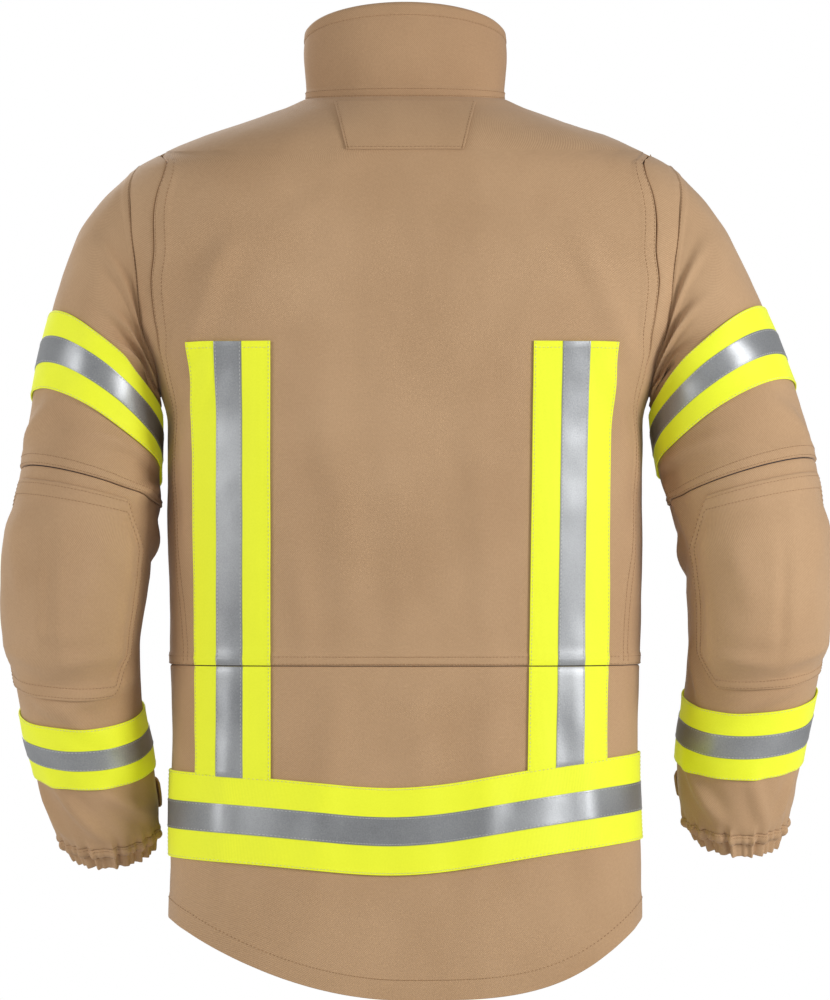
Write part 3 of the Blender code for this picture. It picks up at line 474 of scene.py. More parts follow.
# %% Cloth finishes
TWILL = weave("aramid_twill", "#c3a07b", "#a6835f", 0.0013)
# The collar's copy of the shell twill is darker: painted shade for the shade that the collar stands in, as its
# cloth is the shell's.
SHADED_COLLAR_TWILL = weave("aramid_twill_collar_painted_shade", "#bb9772", "#9c7957", 0.0013)
LINING = weave("quilted_lining_cloth", "#454b5a", "#2f3440", 0.0012, sheen=0.25)
ZIP_CLOTH = weave("zip_tape_weave", "#34312e", "#1d1b1a", 0.0012, pattern="X")
FUZZ = weave("nylon_loop_pile", "#a5825f", "#7b5f43", 0.0020, roughness=0.95, sheen=0.5, bump=0.9,
             cloudy=0.2)
KNIT = weave("rib_knit", "#b08c68", "#7d6046", 0.0032, roughness=0.95, sheen=0.3, pattern="X", bump=0.9,
             cloudy=0.25)
TAN_THREAD = weave("tan_sewing_thread", "#ab8257", "#82603d", 0.0009, roughness=0.6, bump=0.5,
                   coordinates="Object")
PALE_THREAD = weave("pale_sewing_thread", "#e3e2a8", "#c6c67a", 0.0009, roughness=0.6, bump=0.5,
                    coordinates="Object")
GREY_THREAD = weave("grey_sewing_thread", "#d3d4d2", "#a9aaa8", 0.0009, roughness=0.6, bump=0.5,
                    coordinates="Object")

# %% [markdown]
# ### High-visibility tape
# The yellow is a dense woven ribbon whose dye gives back ultraviolet light as yellow, so it looks
# brighter than any paint; a faint painted glow, an emission, stands for that. The silver strip is covered with
# glass beads and looks like soft metal, darker where it turns away from the light.

# %% Tape finishes
YELLOW = weave("fluorescent_ribbon", "#e9ee2e", "#d9e11a", 0.0010, roughness=0.7, sheen=0.1, bump=0.25,
               pattern="X", cloudy=0.25)
yellow_shader = YELLOW.node_tree.nodes["Principled BSDF"]
# Painted glow: a faint emission makes the yellow brighter than the lamps alone light it.
yellow_shader.inputs["Emission Color"].default_value = linear("#e6f21a")
yellow_shader.inputs["Emission Strength"].default_value = 0.16

SILVER, tree, shader = shader_of("glass_bead_silver", 0.42, metallic=0.55)
body = add_node(tree, "TexCoord").outputs["Object"]
beads = add_node(tree, "TexNoise", {"Vector": body, "Scale": 900.0, "Detail": 1.0}).outputs["Fac"]
rubbed = add_node(tree, "TexNoise", {"Vector": body, "Scale": 14.0, "Detail": 4.0}).outputs["Fac"]
mixed = add_node(tree, "Mix", {"Factor": 0.65, "A": beads, "B": rubbed}).outputs["Result"]
colour = add_node(tree, "ValToRGB", {"Fac": mixed})
colour.color_ramp.elements[0].position = 0.3
colour.color_ramp.elements[0].color = linear("#828487")
colour.color_ramp.elements[1].position = 0.7
colour.color_ramp.elements[1].color = linear("#a4a6a8")
tree.links.new(colour.outputs["Color"], shader.inputs["Base Color"])
grain = add_node(tree, "Bump", {"Height": beads, "Strength": 0.25, "Distance": 0.0003})
tree.links.new(grain.outputs["Normal"], shader.inputs["Normal"])

# %% Metal finish
ZINC, tree, shader = shader_of("satin_zinc", 0.33, metallic=1.0)
body = add_node(tree, "TexCoord").outputs["Object"]
scuffs = add_node(tree, "TexNoise", {"Vector": body, "Scale": 260.0, "Detail": 5.0}).outputs["Fac"]
colour = add_node(tree, "ValToRGB", {"Fac": scuffs})
colour.color_ramp.elements[0].color = linear("#8b8d8f")
colour.color_ramp.elements[1].color = linear("#d0d1d2")
tree.links.new(colour.outputs["Color"], shader.inputs["Base Color"])
worn = add_node(tree, "Bump", {"Height": scuffs, "Strength": 0.2, "Distance": 0.0002})
tree.links.new(worn.outputs["Normal"], shader.inputs["Normal"])
MOULDED, tree, shader = shader_of("moulded_teeth", 0.4)
body = add_node(tree, "TexCoord").outputs["Object"]
grain = add_node(tree, "TexNoise", {"Vector": body, "Scale": 700.0}).outputs["Fac"]
colour = add_node(tree, "ValToRGB", {"Fac": grain})
colour.color_ramp.elements[0].color = linear("#1b1a19")
colour.color_ramp.elements[1].color = linear("#3a3836")
tree.links.new(colour.outputs["Color"], shader.inputs["Base Color"])
print("finishes", len(bpy.data.materials))

# %% [markdown]
# ## Folds and seams as small lifts
# Cloth that hangs from shoulders is never smooth. A fold is a soft ridge with a shallow valley on each
# side, drawn between two places on the cloth. A felled seam is a flat ridge 9 mm wide that ends in a
# groove. Both are added to the surface itself, so tape and stitches lie in them as they do when sewn.

# %% How a fold and a lapped seam rise
def fold_lift(folds, a, b):
    """Height of soft ridges that run between two places on the cloth, at the place (a, b)."""
    total = 0.0
    for a0, b0, a1, b1, width, height in folds:
        da, db = a1 - a0, b1 - b0
        length = math.hypot(da, db)
        along = ((a - a0) * da + (b - b0) * db) / length ** 2
        if not -0.3 < along < 1.3:
            continue
        off = abs((a - a0) * db - (b - b0) * da) / length / width
        if off < 3.2:
            ends = ease(along, -0.3, 0.35) * ease(1 - along, -0.3, 0.35)
            total += height * ends * (1 - off * off * 0.8) * math.exp(-off * off / 2)
    return total


def lap(distance, width=0.0092, height=0.0009):
    """A felled seam: flat over its width, a rounded fall beyond, and a groove at the seam itself."""
    if distance < 0:
        return -height * max(1 + distance / 0.0016, 0.0)
    rise = ease(distance, -0.0002, 0.0013)
    return height * (rise * (1 - ease(distance, width, width + 0.0030)) - 0.8 * (1 - rise))


def ripple(point, size, height, stretch=(1, 1, 1)):
    """Soft unevenness of hanging cloth."""
    return height * noise.noise(Vector((point.x * stretch[0], point.y * stretch[1],
                                        point.z * stretch[2])) / size)


# %% Folds of the body
BACK_FOLDS = (
    # x and height where a fold starts and ends, its width and its height
    (0.150, -0.120, 0.196, -0.235, 0.010, 0.0030), (0.168, -0.215, 0.196, -0.330, 0.008, 0.0026),
    (0.120, -0.110, 0.178, -0.160, 0.012, 0.0020), (0.182, -0.300, 0.196, -0.440, 0.008, 0.0020),
    (-0.150, -0.120, -0.196, -0.230, 0.010, 0.0030), (-0.170, -0.210, -0.198, -0.320, 0.008, 0.0026),
    (-0.122, -0.105, -0.180, -0.158, 0.012, 0.0020), (-0.184, -0.300, -0.198, -0.430, 0.008, 0.0020),
    (0.070, -0.250, 0.040, -0.480, 0.017, 0.0018), (-0.060, -0.260, -0.075, -0.485, 0.016, 0.0020),
    (0.010, -0.330, 0.004, -0.500, 0.015, 0.0013), (0.095, -0.380, 0.085, -0.490, 0.010, 0.0014),
    (0.060, -0.495, 0.075, -0.680, 0.014, 0.0022), (-0.010, -0.495, -0.014, -0.700, 0.018, 0.0018),
    (-0.080, -0.495, -0.060, -0.690, 0.014, 0.0022), (0.150, -0.500, 0.165, -0.700, 0.012, 0.0022),
    (-0.150, -0.500, -0.165, -0.690, 0.012, 0.0022), (0.020, -0.040, 0.110, -0.075, 0.010, 0.0009),
    (-0.020, -0.040, -0.110, -0.075, 0.010, 0.0009), (0.060, -0.075, 0.130, -0.140, 0.012, 0.0012),
    (-0.060, -0.075, -0.130, -0.140, 0.012, 0.0012),
)
FRONT_FOLDS = (
    (0.130, -0.100, 0.190, -0.230, 0.011, 0.0028), (0.160, -0.220, 0.196, -0.370, 0.010, 0.0024),
    (-0.130, -0.100, -0.190, -0.230, 0.011, 0.0028), (-0.160, -0.220, -0.196, -0.370, 0.010, 0.0024),
    (0.060, -0.070, 0.110, -0.150, 0.010, 0.0015), (-0.060, -0.070, -0.110, -0.150, 0.010, 0.0015),
    (-0.060, -0.250, -0.080, -0.370, 0.012, 0.0016), (0.110, -0.570, 0.125, -0.690, 0.012, 0.0016),
    (-0.110, -0.570, -0.125, -0.690, 0.012, 0.0016),
)
SIDE_RADIUS = 0.20


@lru_cache(maxsize=None)
def hem_height(turn):
    """The hem is level in front and drops to a tail behind, more steeply on the right."""
    if math.sin(turn) <= 0:
        return HEM
    share = torso_skin(turn, HEM).x / torso_sizes(HEM)[0]
    power = TAIL_CURVES[0] if share > 0 else TAIL_CURVES[1]
    return HEM - TAIL_DROP * (1 - min(abs(share), 1.0) ** power)


def torso_relief(turn, point):
    """Lift of the body's cloth by its folds and its seams."""
    height = point.z
    behind = math.sin(turn)
    quiet = ease(abs(point.x), 0.032, 0.075) if behind < 0 else 1.0
    folds = BACK_FOLDS if behind > 0 else FRONT_FOLDS
    lift = fold_lift(folds, point.x, height) * ease(abs(behind), 0.02, 0.20)
    lift += ripple(point, 0.055, 0.0011, (1.6, 1, 0.7)) + ripple(point, 0.021, 0.0005, (1.3, 1, 0.8))
    lift *= quiet * ease(neckline(round(turn, 2)) - height, 0.0, 0.02)
    lift += lap(height - WAIST_SEAM) * (1 if behind > 0 else ease(abs(point.x), 0.030, 0.040))
    edge = height - hem_height(round(turn, 3))
    lift += 0.0008 * (1 - ease(edge, 0.0185, 0.0215))
    if behind > 0 and WAIST_SEAM - 0.002 < height < SHOULDER_POINT:
        left_turn = turn if turn < math.pi / 2 else math.pi - turn
        lift += lap((left_turn - seam_turn(height)) * SIDE_RADIUS)
    return lift


def torso_at(turn, height):
    """Place on the body's cloth and the direction straight out of it."""
    step = 0.002
    around = torso_skin(turn + step, height) - torso_skin(turn - step, height)
    up = torso_skin(turn, height + step) - torso_skin(turn, height - step)
    out = around.cross(up).normalized()
    point = torso_skin(turn, height)
    return point + out * torso_relief(turn, point), out


print("folds behind", len(BACK_FOLDS), "in front", len(FRONT_FOLDS))

# %% [markdown]
# ## Cutting cloth and sewing it
# One helper cuts a sheet: a flat grid whose corners are moved onto the surface, then extruded inwards
# for the cloth's thickness, with its cut edges bevelled. The grid is finer beside the edges, where seams
# are. A second helper lays a row of stitches: small beads of thread sunk halfway into the cloth.

# %% A sheet of cloth
CLOTH = 0.0018
CELL = 0.0055


def fine(length, near=(0.0008, 0.0020, 0.0048, 0.0080, 0.0094, 0.0108, 0.0124), cell=CELL):
    """Shares of a length for a grid's lines, with extra lines near both ends."""
    near = [step for step in near if step < length / 3]
    inner = near[-1] if near else 0.0
    cells = max(round((length - 2 * inner) / cell), 1)
    middle = even(inner, length - inner, cells)
    return [share / length for share in [0.0] + near[:-1] + middle + [length - s for s in near[-2::-1]]
            + [length]] if near else [share / length for share in even(0, length, cells)]


def keep(name, mesh, finish, body, replaced=(), angle=45):
    """Turn a bmesh into a named piece with its finish, its body and the solids it stands for."""
    data = bpy.data.meshes.new(name)
    mesh.to_mesh(data)
    mesh.free()
    data.materials.append(finish)
    data.shade_smooth()
    data.set_sharp_from_angle(angle=math.radians(angle))
    made = bpy.data.objects.new(name, data)
    bpy.context.scene.collection.objects.link(made)
    if isinstance(body, tuple):
        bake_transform(made)
    else:
        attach(made, body)
    if replaced:
        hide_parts(*replaced)
    return made


def cloth(name, place, size, finish, body, replaced=(), lift=0.0, thick=CLOTH, us=None, vs=None,
          wrap=False, soft=0.0005):
    """A sheet of cloth; place(u, v) gives a point and the way out, and lift may be a function too."""
    us = us or fine(size[0])
    vs = vs or fine(size[1])
    rise = lift if callable(lift) else (lambda u, v: lift)
    mesh = bmesh.new()
    across, along = len(us) - 1, len(vs) - 1
    bmesh.ops.create_grid(mesh, x_segments=across, y_segments=along, size=0.5)
    metres = mesh.loops.layers.uv.new("cloth")
    inner = {}
    for face in mesh.faces:
        for loop in face.loops:
            u = us[round((loop.vert.co.x + 0.5) * across)]
            v = vs[round((loop.vert.co.y + 0.5) * along)]
            loop[metres].uv = (u * size[0], v * size[1])
    mark = mesh.verts.layers.int.new("mark")
    for index, vert in enumerate(mesh.verts):
        u = us[round((vert.co.x + 0.5) * across)]
        v = vs[round((vert.co.y + 0.5) * along)]
        point, out = place(u, v)
        up = rise(u, v)
        vert[mark] = index + 1
        vert.co = point + out * up
        inner[index + 1] = point + out * (up - (thick(u, v) if callable(thick) else thick))
    if wrap:
        bmesh.ops.remove_doubles(mesh, verts=mesh.verts[:], dist=1e-6)
    rim = [edge for edge in mesh.edges if edge.is_boundary]
    grown = bmesh.ops.extrude_face_region(mesh, geom=mesh.faces[:])
    for part in grown["geom"]:
        if isinstance(part, bmesh.types.BMVert):
            part.co = inner[part[mark]]
    bmesh.ops.recalc_face_normals(mesh, faces=mesh.faces[:])
    if soft:
        bmesh.ops.bevel(mesh, geom=[edge for edge in rim if edge.is_valid], offset=soft, segments=2,
                        profile=0.5, affect="EDGES", material=-1)
    made = keep(name, mesh, finish, body, replaced)
    return made


# %% A row of stitches
STITCH = (0.0026, 0.00062, 0.00050)
PITCH = 0.0034
bead = bmesh.new()
bmesh.ops.create_icosphere(bead, subdivisions=1, radius=0.5)
BEAD_POINTS = np.array([vert.co[:] for vert in bead.verts]) * np.array(STITCH)
BEAD_FACES = np.array([[vert.index for vert in face.verts] for face in bead.faces])
bead.free()
rows_sewn = {}


def sew(group, place, path, lift=0.0, pitch=PITCH):
    """Lay stitches along path(t), t from 0 to 1, and keep them for the group's one object."""
    ends = [place(*path(step / 40))[0] for step in range(41)]
    length = sum((b - a).length for a, b in zip(ends, ends[1:]))
    count = max(round(length / pitch), 1)
    rise = lift if callable(lift) else (lambda u, v: lift)
    spots = []
    for index in range(count + 1):
        u, v = path(index / count)
        point, out = place(u, v)
        spots.append((point + out * rise(u, v), out))
    for (a, out), (b, _) in zip(spots, spots[1:]):
        along = (b - a).normalized()
        side = out.cross(along).normalized()
        rows_sewn.setdefault(group, []).append(
            np.array([[*along, 0], [*side, 0], [*side.cross(along).normalized(), 0],
                      [*((a + b) / 2), 1]]))


def tie_off(group, finish, body):
    """Make one object of all the stitches of a group."""
    frames = np.array(rows_sewn.pop(group))
    points = np.einsum("pk,skj->spj", BEAD_POINTS, frames[:, :3, :3]) + frames[:, 3, None, :3]
    faces = BEAD_FACES[None] + np.arange(len(frames))[:, None, None] * len(BEAD_POINTS)
    data = bpy.data.meshes.new("stitches_" + group)
    data.from_pydata(points.reshape(-1, 3).tolist(), [], faces.reshape(-1, 3).tolist())
    mesh = bmesh.new()
    mesh.from_mesh(data)
    bmesh.ops.recalc_face_normals(mesh, faces=mesh.faces[:])
    return keep("stitches_" + group, mesh, finish, body, angle=180)


# %% [markdown]
# ## The body's shell
# Eight pieces of twill: the back between two curved action-back seams, a narrow panel beside each
# sleeve, two fronts, and the skirts below the waist seam. The edges that meet in a seam lie together;
# the relief of the surface draws the lap over them.

# %% Where the body's pieces lie
SEAM_GAP = 0.0005


def gap_turn():
    """Half a seam's gap as an angle at the side of the body."""
    return SEAM_GAP / 2 / HALF_CHEST * 1.6


def hung(height, top):
    """The row that a shoulder-line height becomes in a column whose top is higher or lower."""
    first = neckline(0.0)
    bottom = WAIST_SEAM + SEAM_GAP / 2
    return top + (height - first) * (bottom - top) / (bottom - first)


def front_edge(height):
    """Angle of the left front edge at a height."""
    return turn_at(FRONT_EDGE, height, front=True)


def panel_height(v):
    """Height at a share down the upper body, at the shoulder line."""
    top = neckline(0.0)
    return top + v * (WAIST_SEAM + SEAM_GAP / 2 - top)


def back_panel_place(u, v):
    row = hung(panel_height(v), neckline(math.pi * u))
    edge = seam_turn(row) + gap_turn()
    return torso_at(edge + u * (math.pi - 2 * edge), row)


def side_panel_place(u, v):
    top = SHOULDER_POINT - 0.0003
    height = top + v * (WAIST_SEAM + SEAM_GAP / 2 - top)
    return torso_at(gap_turn() + u * (seam_turn(height) - 2 * gap_turn()), height)


def front_panel_place(u, v):
    top = neckline(round(u * front_edge(neckline(-math.pi / 2)), 6))
    row = hung(panel_height(v), neckline(round(u * front_edge(top), 6)))
    return torso_at(-gap_turn() + u * (front_edge(row) + gap_turn()), row)


def skirt_height(turn, share):
    top = WAIST_SEAM - SEAM_GAP / 2
    return top + share * (hem_height(turn) - top)


def back_skirt_place(u, v):
    turn = gap_turn() + u * (math.pi - 2 * gap_turn())
    return torso_at(turn, skirt_height(turn, v))


def front_skirt_place(u, v):
    row = skirt_height(-0.5, v)
    return torso_at(-gap_turn() + u * (front_edge(row) + gap_turn()), row)


def on_right(place):
    """The same place on the right of the body, with the right side's own folds."""
    def other(u, v):
        point, out = place(u, v)
        turn = math.atan2(point.y, -point.x)
        return torso_at(turn, point.z)
    return other


# %% Cut the body's pieces
panel_rows = fine(0.50, cell=0.0050)
cloth("back_panel_cloth", back_panel_place, (0.45, 0.50), TWILL, "coat", ("back_panel",), vs=panel_rows,
      us=fine(0.45, cell=0.0050))
skirt_rows = fine(0.25, near=(0.0008, 0.0020, 0.0045, 0.0085, 0.0110))
cloth("back_skirt_cloth", back_skirt_place, (0.47, 0.27), TWILL, "coat", ("back_skirt",), vs=skirt_rows,
      us=fine(0.47, cell=0.0050))


def armhole_trim(piece, side):
    """Take the armhole out of a piece with a bar of oval section, and apply the cut."""
    mesh = bmesh.new()
    across = HALF_CHEST + HALF_CHEST / 3
    shape = (Matrix.Translation(((across if side == "left" else -across), 0, ARMHOLE_HEIGHT))
             @ Matrix.Diagonal((HALF_CHEST, ARMHOLE_HALF_DEPTH, ARMHOLE_HALF_HEIGHT, 1))
             @ Matrix.Rotation(math.pi / 2, 4, "Y"))
    bmesh.ops.create_cone(mesh, cap_ends=True, segments=160, radius1=1, radius2=1, depth=2, matrix=shape)
    data = bpy.data.meshes.new("armhole")
    mesh.to_mesh(data)
    mesh.free()
    cutter = bpy.data.objects.new("armhole", data)
    bpy.context.scene.collection.objects.link(cutter)
    cut = piece.modifiers.new("armhole", "BOOLEAN")
    cut.operation = "DIFFERENCE"
    cut.solver = "EXACT"
    cut.object = cutter
    bpy.context.view_layer.update()
    solved = bpy.data.meshes.new_from_object(piece.evaluated_get(bpy.context.evaluated_depsgraph_get()))
    piece.modifiers.remove(cut)
    old = piece.data
    piece.data = solved
    bpy.data.meshes.remove(old)
    bpy.data.objects.remove(cutter)
    bpy.data.meshes.remove(data)


for side in ("left", "right"):
    turned = (lambda place: place) if side == "left" else on_right
    panel = cloth("side_panel_cloth_" + side, turned(side_panel_place), (0.05, 0.44), TWILL, "coat",
                  ("side_panel_" + side,), vs=fine(0.44, cell=0.006))
    armhole_trim(panel, side)
    front = cloth("front_panel_cloth_" + side, turned(front_panel_place), (0.30, 0.48), TWILL, "coat",
                  ("front_panel_" + side,), vs=fine(0.48, cell=0.007), us=fine(0.30, cell=0.007))
    armhole_trim(front, side)
    cloth("front_skirt_cloth_" + side, turned(front_skirt_place), (0.24, 0.22), TWILL, "coat",
          ("front_skirt_" + side,), us=fine(0.24, cell=0.007),
          vs=fine(0.22, near=(0.0008, 0.0020, 0.0045, 0.0085, 0.0110)))
print("body pieces cut")

# %% [markdown]
# ### The body's stitching
# A felled seam shows two rows of topstitching 8 mm apart, and the hem one row at the top of its fold.

# %% Sew the body
def at_height(height_of, first, last):
    """A row round the body between two angles."""
    return lambda t: (first + t * (last - first), height_of(first + t * (last - first)))


for offset in (0.0017, 0.0079):
    sew("body", torso_at, at_height(lambda turn: WAIST_SEAM + offset, 0.01, math.pi - 0.01), 0.0001)
    for side in (1, -1):
        sew("body", torso_at, lambda t: ((math.pi if side < 0 else 0.0) + side * (
            seam_turn(SHOULDER_POINT - 0.004 + t * (WAIST_SEAM + 0.004 - SHOULDER_POINT)) + offset / SIDE_RADIUS),
            SHOULDER_POINT - 0.004 + t * (WAIST_SEAM + 0.004 - SHOULDER_POINT)), 0.0001)
        sew("body", torso_at, lambda t: ((math.pi if side < 0 else 0.0) - side * (
            0.01 + t * 1.32), WAIST_SEAM + offset), 0.0001)
sew("body", torso_at, at_height(lambda turn: hem_height(turn) + 0.0175, 0.0, math.pi), 0.0001)
for side in (1, -1):
    sew("body", torso_at, lambda t: ((math.pi if side < 0 else 0.0) - side * t * 1.32,
                                     HEM + 0.0175), 0.0001)
tie_off("body", TAN_THREAD, "coat")

# %% [markdown]
# ## High-visibility stripes
# A stripe is a 75 mm ribbon of three equal parts: yellow, silver, yellow. It is sewn down along both
# edges and along both edges of the silver. The stripes behind end in the waist seam and start again
# below it, and the hem band covers their lower ends.

# %% Where the stripes lie
def hem_band_height(turn, share):
    """Height on the hem band: 0 at its top edge and 1 at its bottom edge."""
    share_across = torso_skin(turn, HEM_BAND_HEIGHT).x / torso_sizes(HEM_BAND_HEIGHT)[0]
    sag = HEM_BAND_SAG * max(math.sin(turn), 0.0) ** 2
    return HEM_BAND_HEIGHT - sag - HEM_BAND_TILT * share_across + TAPE_WIDTH * (0.5 - share)


def stripe_turn(side, u, height):
    """Angle across a back stripe, from its inner edge outwards; the right stripe slants inwards."""
    top, bottom = BACK_STRIPE_INNER[side]
    down = (height - BACK_STRIPE_TOP) / (HEM_BAND_HEIGHT - BACK_STRIPE_TOP)
    turn = walk(turn_at(top + down * (bottom - top), height), height, -u * TAPE_WIDTH)
    return turn if side == "left" else math.pi - turn


def back_stripe(side, low):
    """Place on a back stripe; the lower length ends at the hem band."""
    def at(u, v):
        top = WAIST_SEAM - SEAM_GAP if low else BACK_STRIPE_TOP
        if low:
            end = hem_band_height(stripe_turn(side, u, top), 0) - 0.002
            height = top + v * (end - top)
        else:
            height = top + v * (WAIST_SEAM + SEAM_GAP - top)
        return torso_at(stripe_turn(side, u, height), height)
    return at


def chest_stripe(side):
    def at(u, v):
        height = FRONT_STRIPE_TOP + v * (FRONT_STRIPE_BOTTOM - FRONT_STRIPE_TOP)
        turn = walk(turn_at(FRONT_STRIPE_INNER, height, front=True), height, u * TAPE_WIDTH)
        return torso_at(turn if side == "left" else math.pi - turn, height)
    return at


def hem_band(part):
    """The hem band lies across the piece, so that its length runs along u."""
    last = turn_at(HEM_BAND_END, HEM_BAND_HEIGHT, front=True)
    ends = {"back": (gap_turn(), math.pi - gap_turn()), "left": (-gap_turn(), last),
            "right": (math.pi + gap_turn(), math.pi - last)}[part]

    def at(u, v):
        turn = ends[0] + u * (ends[1] - ends[0])
        return torso_at(turn, hem_band_height(turn, v))
    return at


# %% Lay the ribbon in three parts
RIBBON = 0.0022
RIBBON_THICK = 0.0009
SILVER_LIFT = 0.0027
SILVER_SHARE = (0.335, 0.665)
EDGE_ROW = 0.022


def ribbon(name, place, size, body, node, lengthwise="v", wrap=False, cells=0.006, ends=(True, True)):
    """Yellow ribbon with its silver strip and its rows of thread; it is crossed by `lengthwise`."""
    turned = (lambda u, v: place(u, v)) if lengthwise == "v" else (lambda u, v: place(v, u))
    length = size[1]
    along = even(0, 1, round(length / cells))
    across = [0, 0.015, 0.05, 0.16, 0.27, 0.325, 0.345, 0.42, 0.50, 0.58, 0.655, 0.675, 0.73, 0.84, 0.95,
              0.985, 1]
    wide = (size[0], length)

    def on(u, v):
        return turned(u, v)

    cloth(name, (on if lengthwise == "v" else place), wide if lengthwise == "v" else (length, size[0]),
          YELLOW, body, (node,), lift=RIBBON, thick=RIBBON_THICK,
          us=across if lengthwise == "v" else along, vs=along if lengthwise == "v" else across,
          wrap=wrap, soft=0.00025)
    first, last = SILVER_SHARE
    strip = [first + (last - first) * share for share in (0, 0.04, 0.3, 0.5, 0.7, 0.96, 1)]
    cloth(name + "_silver", (on if lengthwise == "v" else place),
          wide if lengthwise == "v" else (length, size[0]), SILVER, body, lift=SILVER_LIFT,
          thick=0.0006, us=strip if lengthwise == "v" else along,
          vs=along if lengthwise == "v" else strip, wrap=wrap, soft=0.00015)
    for share in (EDGE_ROW, 1 - EDGE_ROW):
        sew(name, on, lambda t: (share, t), RIBBON + 0.0001)
    for share in (first + 0.02, last - 0.02):
        sew(name + "_strip", on, lambda t: (share, t), SILVER_LIFT + 0.0001)
    for end, place_of in zip(ends, (0.004 / length * 1.4, 1 - 0.004 / length * 1.4)):
        if end and not wrap:
            sew(name, on, lambda t: (t, place_of), RIBBON + 0.0001)
    tie_off(name, PALE_THREAD, body)
    tie_off(name + "_strip", GREY_THREAD, body)


for side in ("left", "right"):
    ribbon("back_stripe_tape_" + side, back_stripe(side, False), (TAPE_WIDTH, 0.28), "coat",
           "back_stripe_" + side, ends=(True, False))
    ribbon("back_stripe_low_tape_" + side, back_stripe(side, True), (TAPE_WIDTH, 0.11), "coat",
           "back_stripe_low_" + side, ends=(False, False))
    ribbon("chest_stripe_tape_" + side, chest_stripe(side), (TAPE_WIDTH, 0.147), "coat",
           "chest_stripe_" + side)
    ribbon("hem_band_tape_" + side, hem_band(side), (TAPE_WIDTH, 0.235), "coat", "hem_band_" + side,
           lengthwise="u")
ribbon("hem_band_tape_back", hem_band("back"), (TAPE_WIDTH, 0.47), "coat", "hem_band_back", lengthwise="u",
       ends=(True, True))
print("ribbons laid")

# %% [markdown]
# ## Sleeves
# A sleeve is a tube in two lengths, joined above the elbow. It hangs from the armhole, and the cloth
# creases where it bends: slanting folds below the shoulder and beside the elbow. The upper length
# crosses the place where the arm swings, between the coat and the sleeve.

# %% Folds and surface of a sleeve
AROUND = 0.085
STATION = 0.060
HEAD_STATION = 0.030
ARMHOLE_ROW = 0.0020
SLEEVE_FOLDS = {
    # angle and station where a fold starts and ends, its width and its height
    "left": ((150, 0.9, 95, 2.3, 0.010, 0.0040), (120, 0.5, 55, 1.6, 0.012, 0.0026),
             (165, 1.9, 110, 2.9, 0.009, 0.0036), (150, 2.6, 60, 3.3, 0.012, 0.0022),
             (160, 3.9, 80, 4.4, 0.010, 0.0030), (60, 4.1, 10, 4.7, 0.011, 0.0024),
             (165, 4.6, 120, 5.2, 0.009, 0.0026), (150, 7.4, 60, 7.75, 0.009, 0.0030),
             (40, 7.5, 110, 8.1, 0.009, 0.0022), (100, 9.1, 150, 9.7, 0.009, 0.0030),
             (50, 9.0, 90, 9.9, 0.010, 0.0030), (20, 9.2, 45, 9.9, 0.008, 0.0026),
             (290, 1.0, 340, 2.6, 0.012, 0.0028), (250, 4.2, 310, 4.8, 0.010, 0.0030),
             (230, 5.3, 300, 5.7, 0.010, 0.0040), (225, 6.0, 310, 6.3, 0.010, 0.0045),
             (235, 6.7, 305, 7.0, 0.010, 0.0036), (260, 7.5, 320, 8.0, 0.010, 0.0026),
             (300, 9.1, 270, 9.8, 0.009, 0.0026), (170, 5.4, 215, 5.9, 0.009, 0.0030)),
    "right": ((150, 0.8, 90, 2.2, 0.010, 0.0038), (125, 0.5, 60, 1.5, 0.012, 0.0024),
              (160, 1.7, 115, 2.8, 0.009, 0.0036), (155, 2.7, 70, 3.4, 0.012, 0.0024),
              (165, 4.0, 95, 4.5, 0.010, 0.0028), (70, 4.1, 15, 4.8, 0.011, 0.0022),
              (170, 4.4, 150, 5.6, 0.009, 0.0026), (165, 7.0, 140, 7.9, 0.009, 0.0026),
              (50, 7.6, 115, 8.0, 0.009, 0.0020), (150, 8.9, 110, 9.8, 0.010, 0.0034),
              (80, 9.0, 60, 9.9, 0.010, 0.0026), (30, 9.1, 40, 9.8, 0.008, 0.0024),
              (290, 1.1, 345, 2.5, 0.012, 0.0028), (245, 4.1, 310, 4.8, 0.010, 0.0030),
              (230, 5.4, 300, 5.8, 0.010, 0.0040), (225, 6.1, 310, 6.4, 0.010, 0.0045),
              (235, 6.8, 305, 7.0, 0.010, 0.0036), (260, 7.4, 320, 8.0, 0.010, 0.0026),
              (300, 9.0, 270, 9.8, 0.009, 0.0026), (170, 5.6, 215, 6.2, 0.009, 0.0030)),
}
SLEEVE_FOLDS = {side: [(math.radians(a0) * AROUND, b0 * STATION, math.radians(a1) * AROUND, b1 * STATION,
                        width, height) for a0, b0, a1, b1, width, height in folds]
                for side, folds in SLEEVE_FOLDS.items()}
CUFF_WAVES = ((19, 0.0, 0.45), (29, 1.3, 0.35), (43, 2.1, 0.20))


def gathers(turn, station):
    """Small folds that elastic draws up round the wrist."""
    deep = 0.0032 * ease(station, 9.75, 10.35)
    return deep * sum(share * math.cos(waves * turn + start) for waves, start, share in CUFF_WAVES)


def sleeve_relief(side, turn, station, point):
    """Lift of a sleeve's cloth by its folds, its seams and the gathers at its end."""
    round_it = (turn % (2 * math.pi)) * AROUND
    lift = 1.35 * fold_lift(SLEEVE_FOLDS[side], round_it, station * STATION)
    lift += ripple(point, 0.050, 0.0016) + ripple(point, 0.020, 0.0007)
    lift *= ease(station, 0.0, 0.6) * (1 - ease(station, 9.9, 10.3))
    lift += gathers(turn, station)
    lift += lap((ELBOW_SEAM - station) * STATION, height=0.0011)
    lift += lap(station * HEAD_STATION, height=0.0009) if station < 2 else 0.0
    return lift


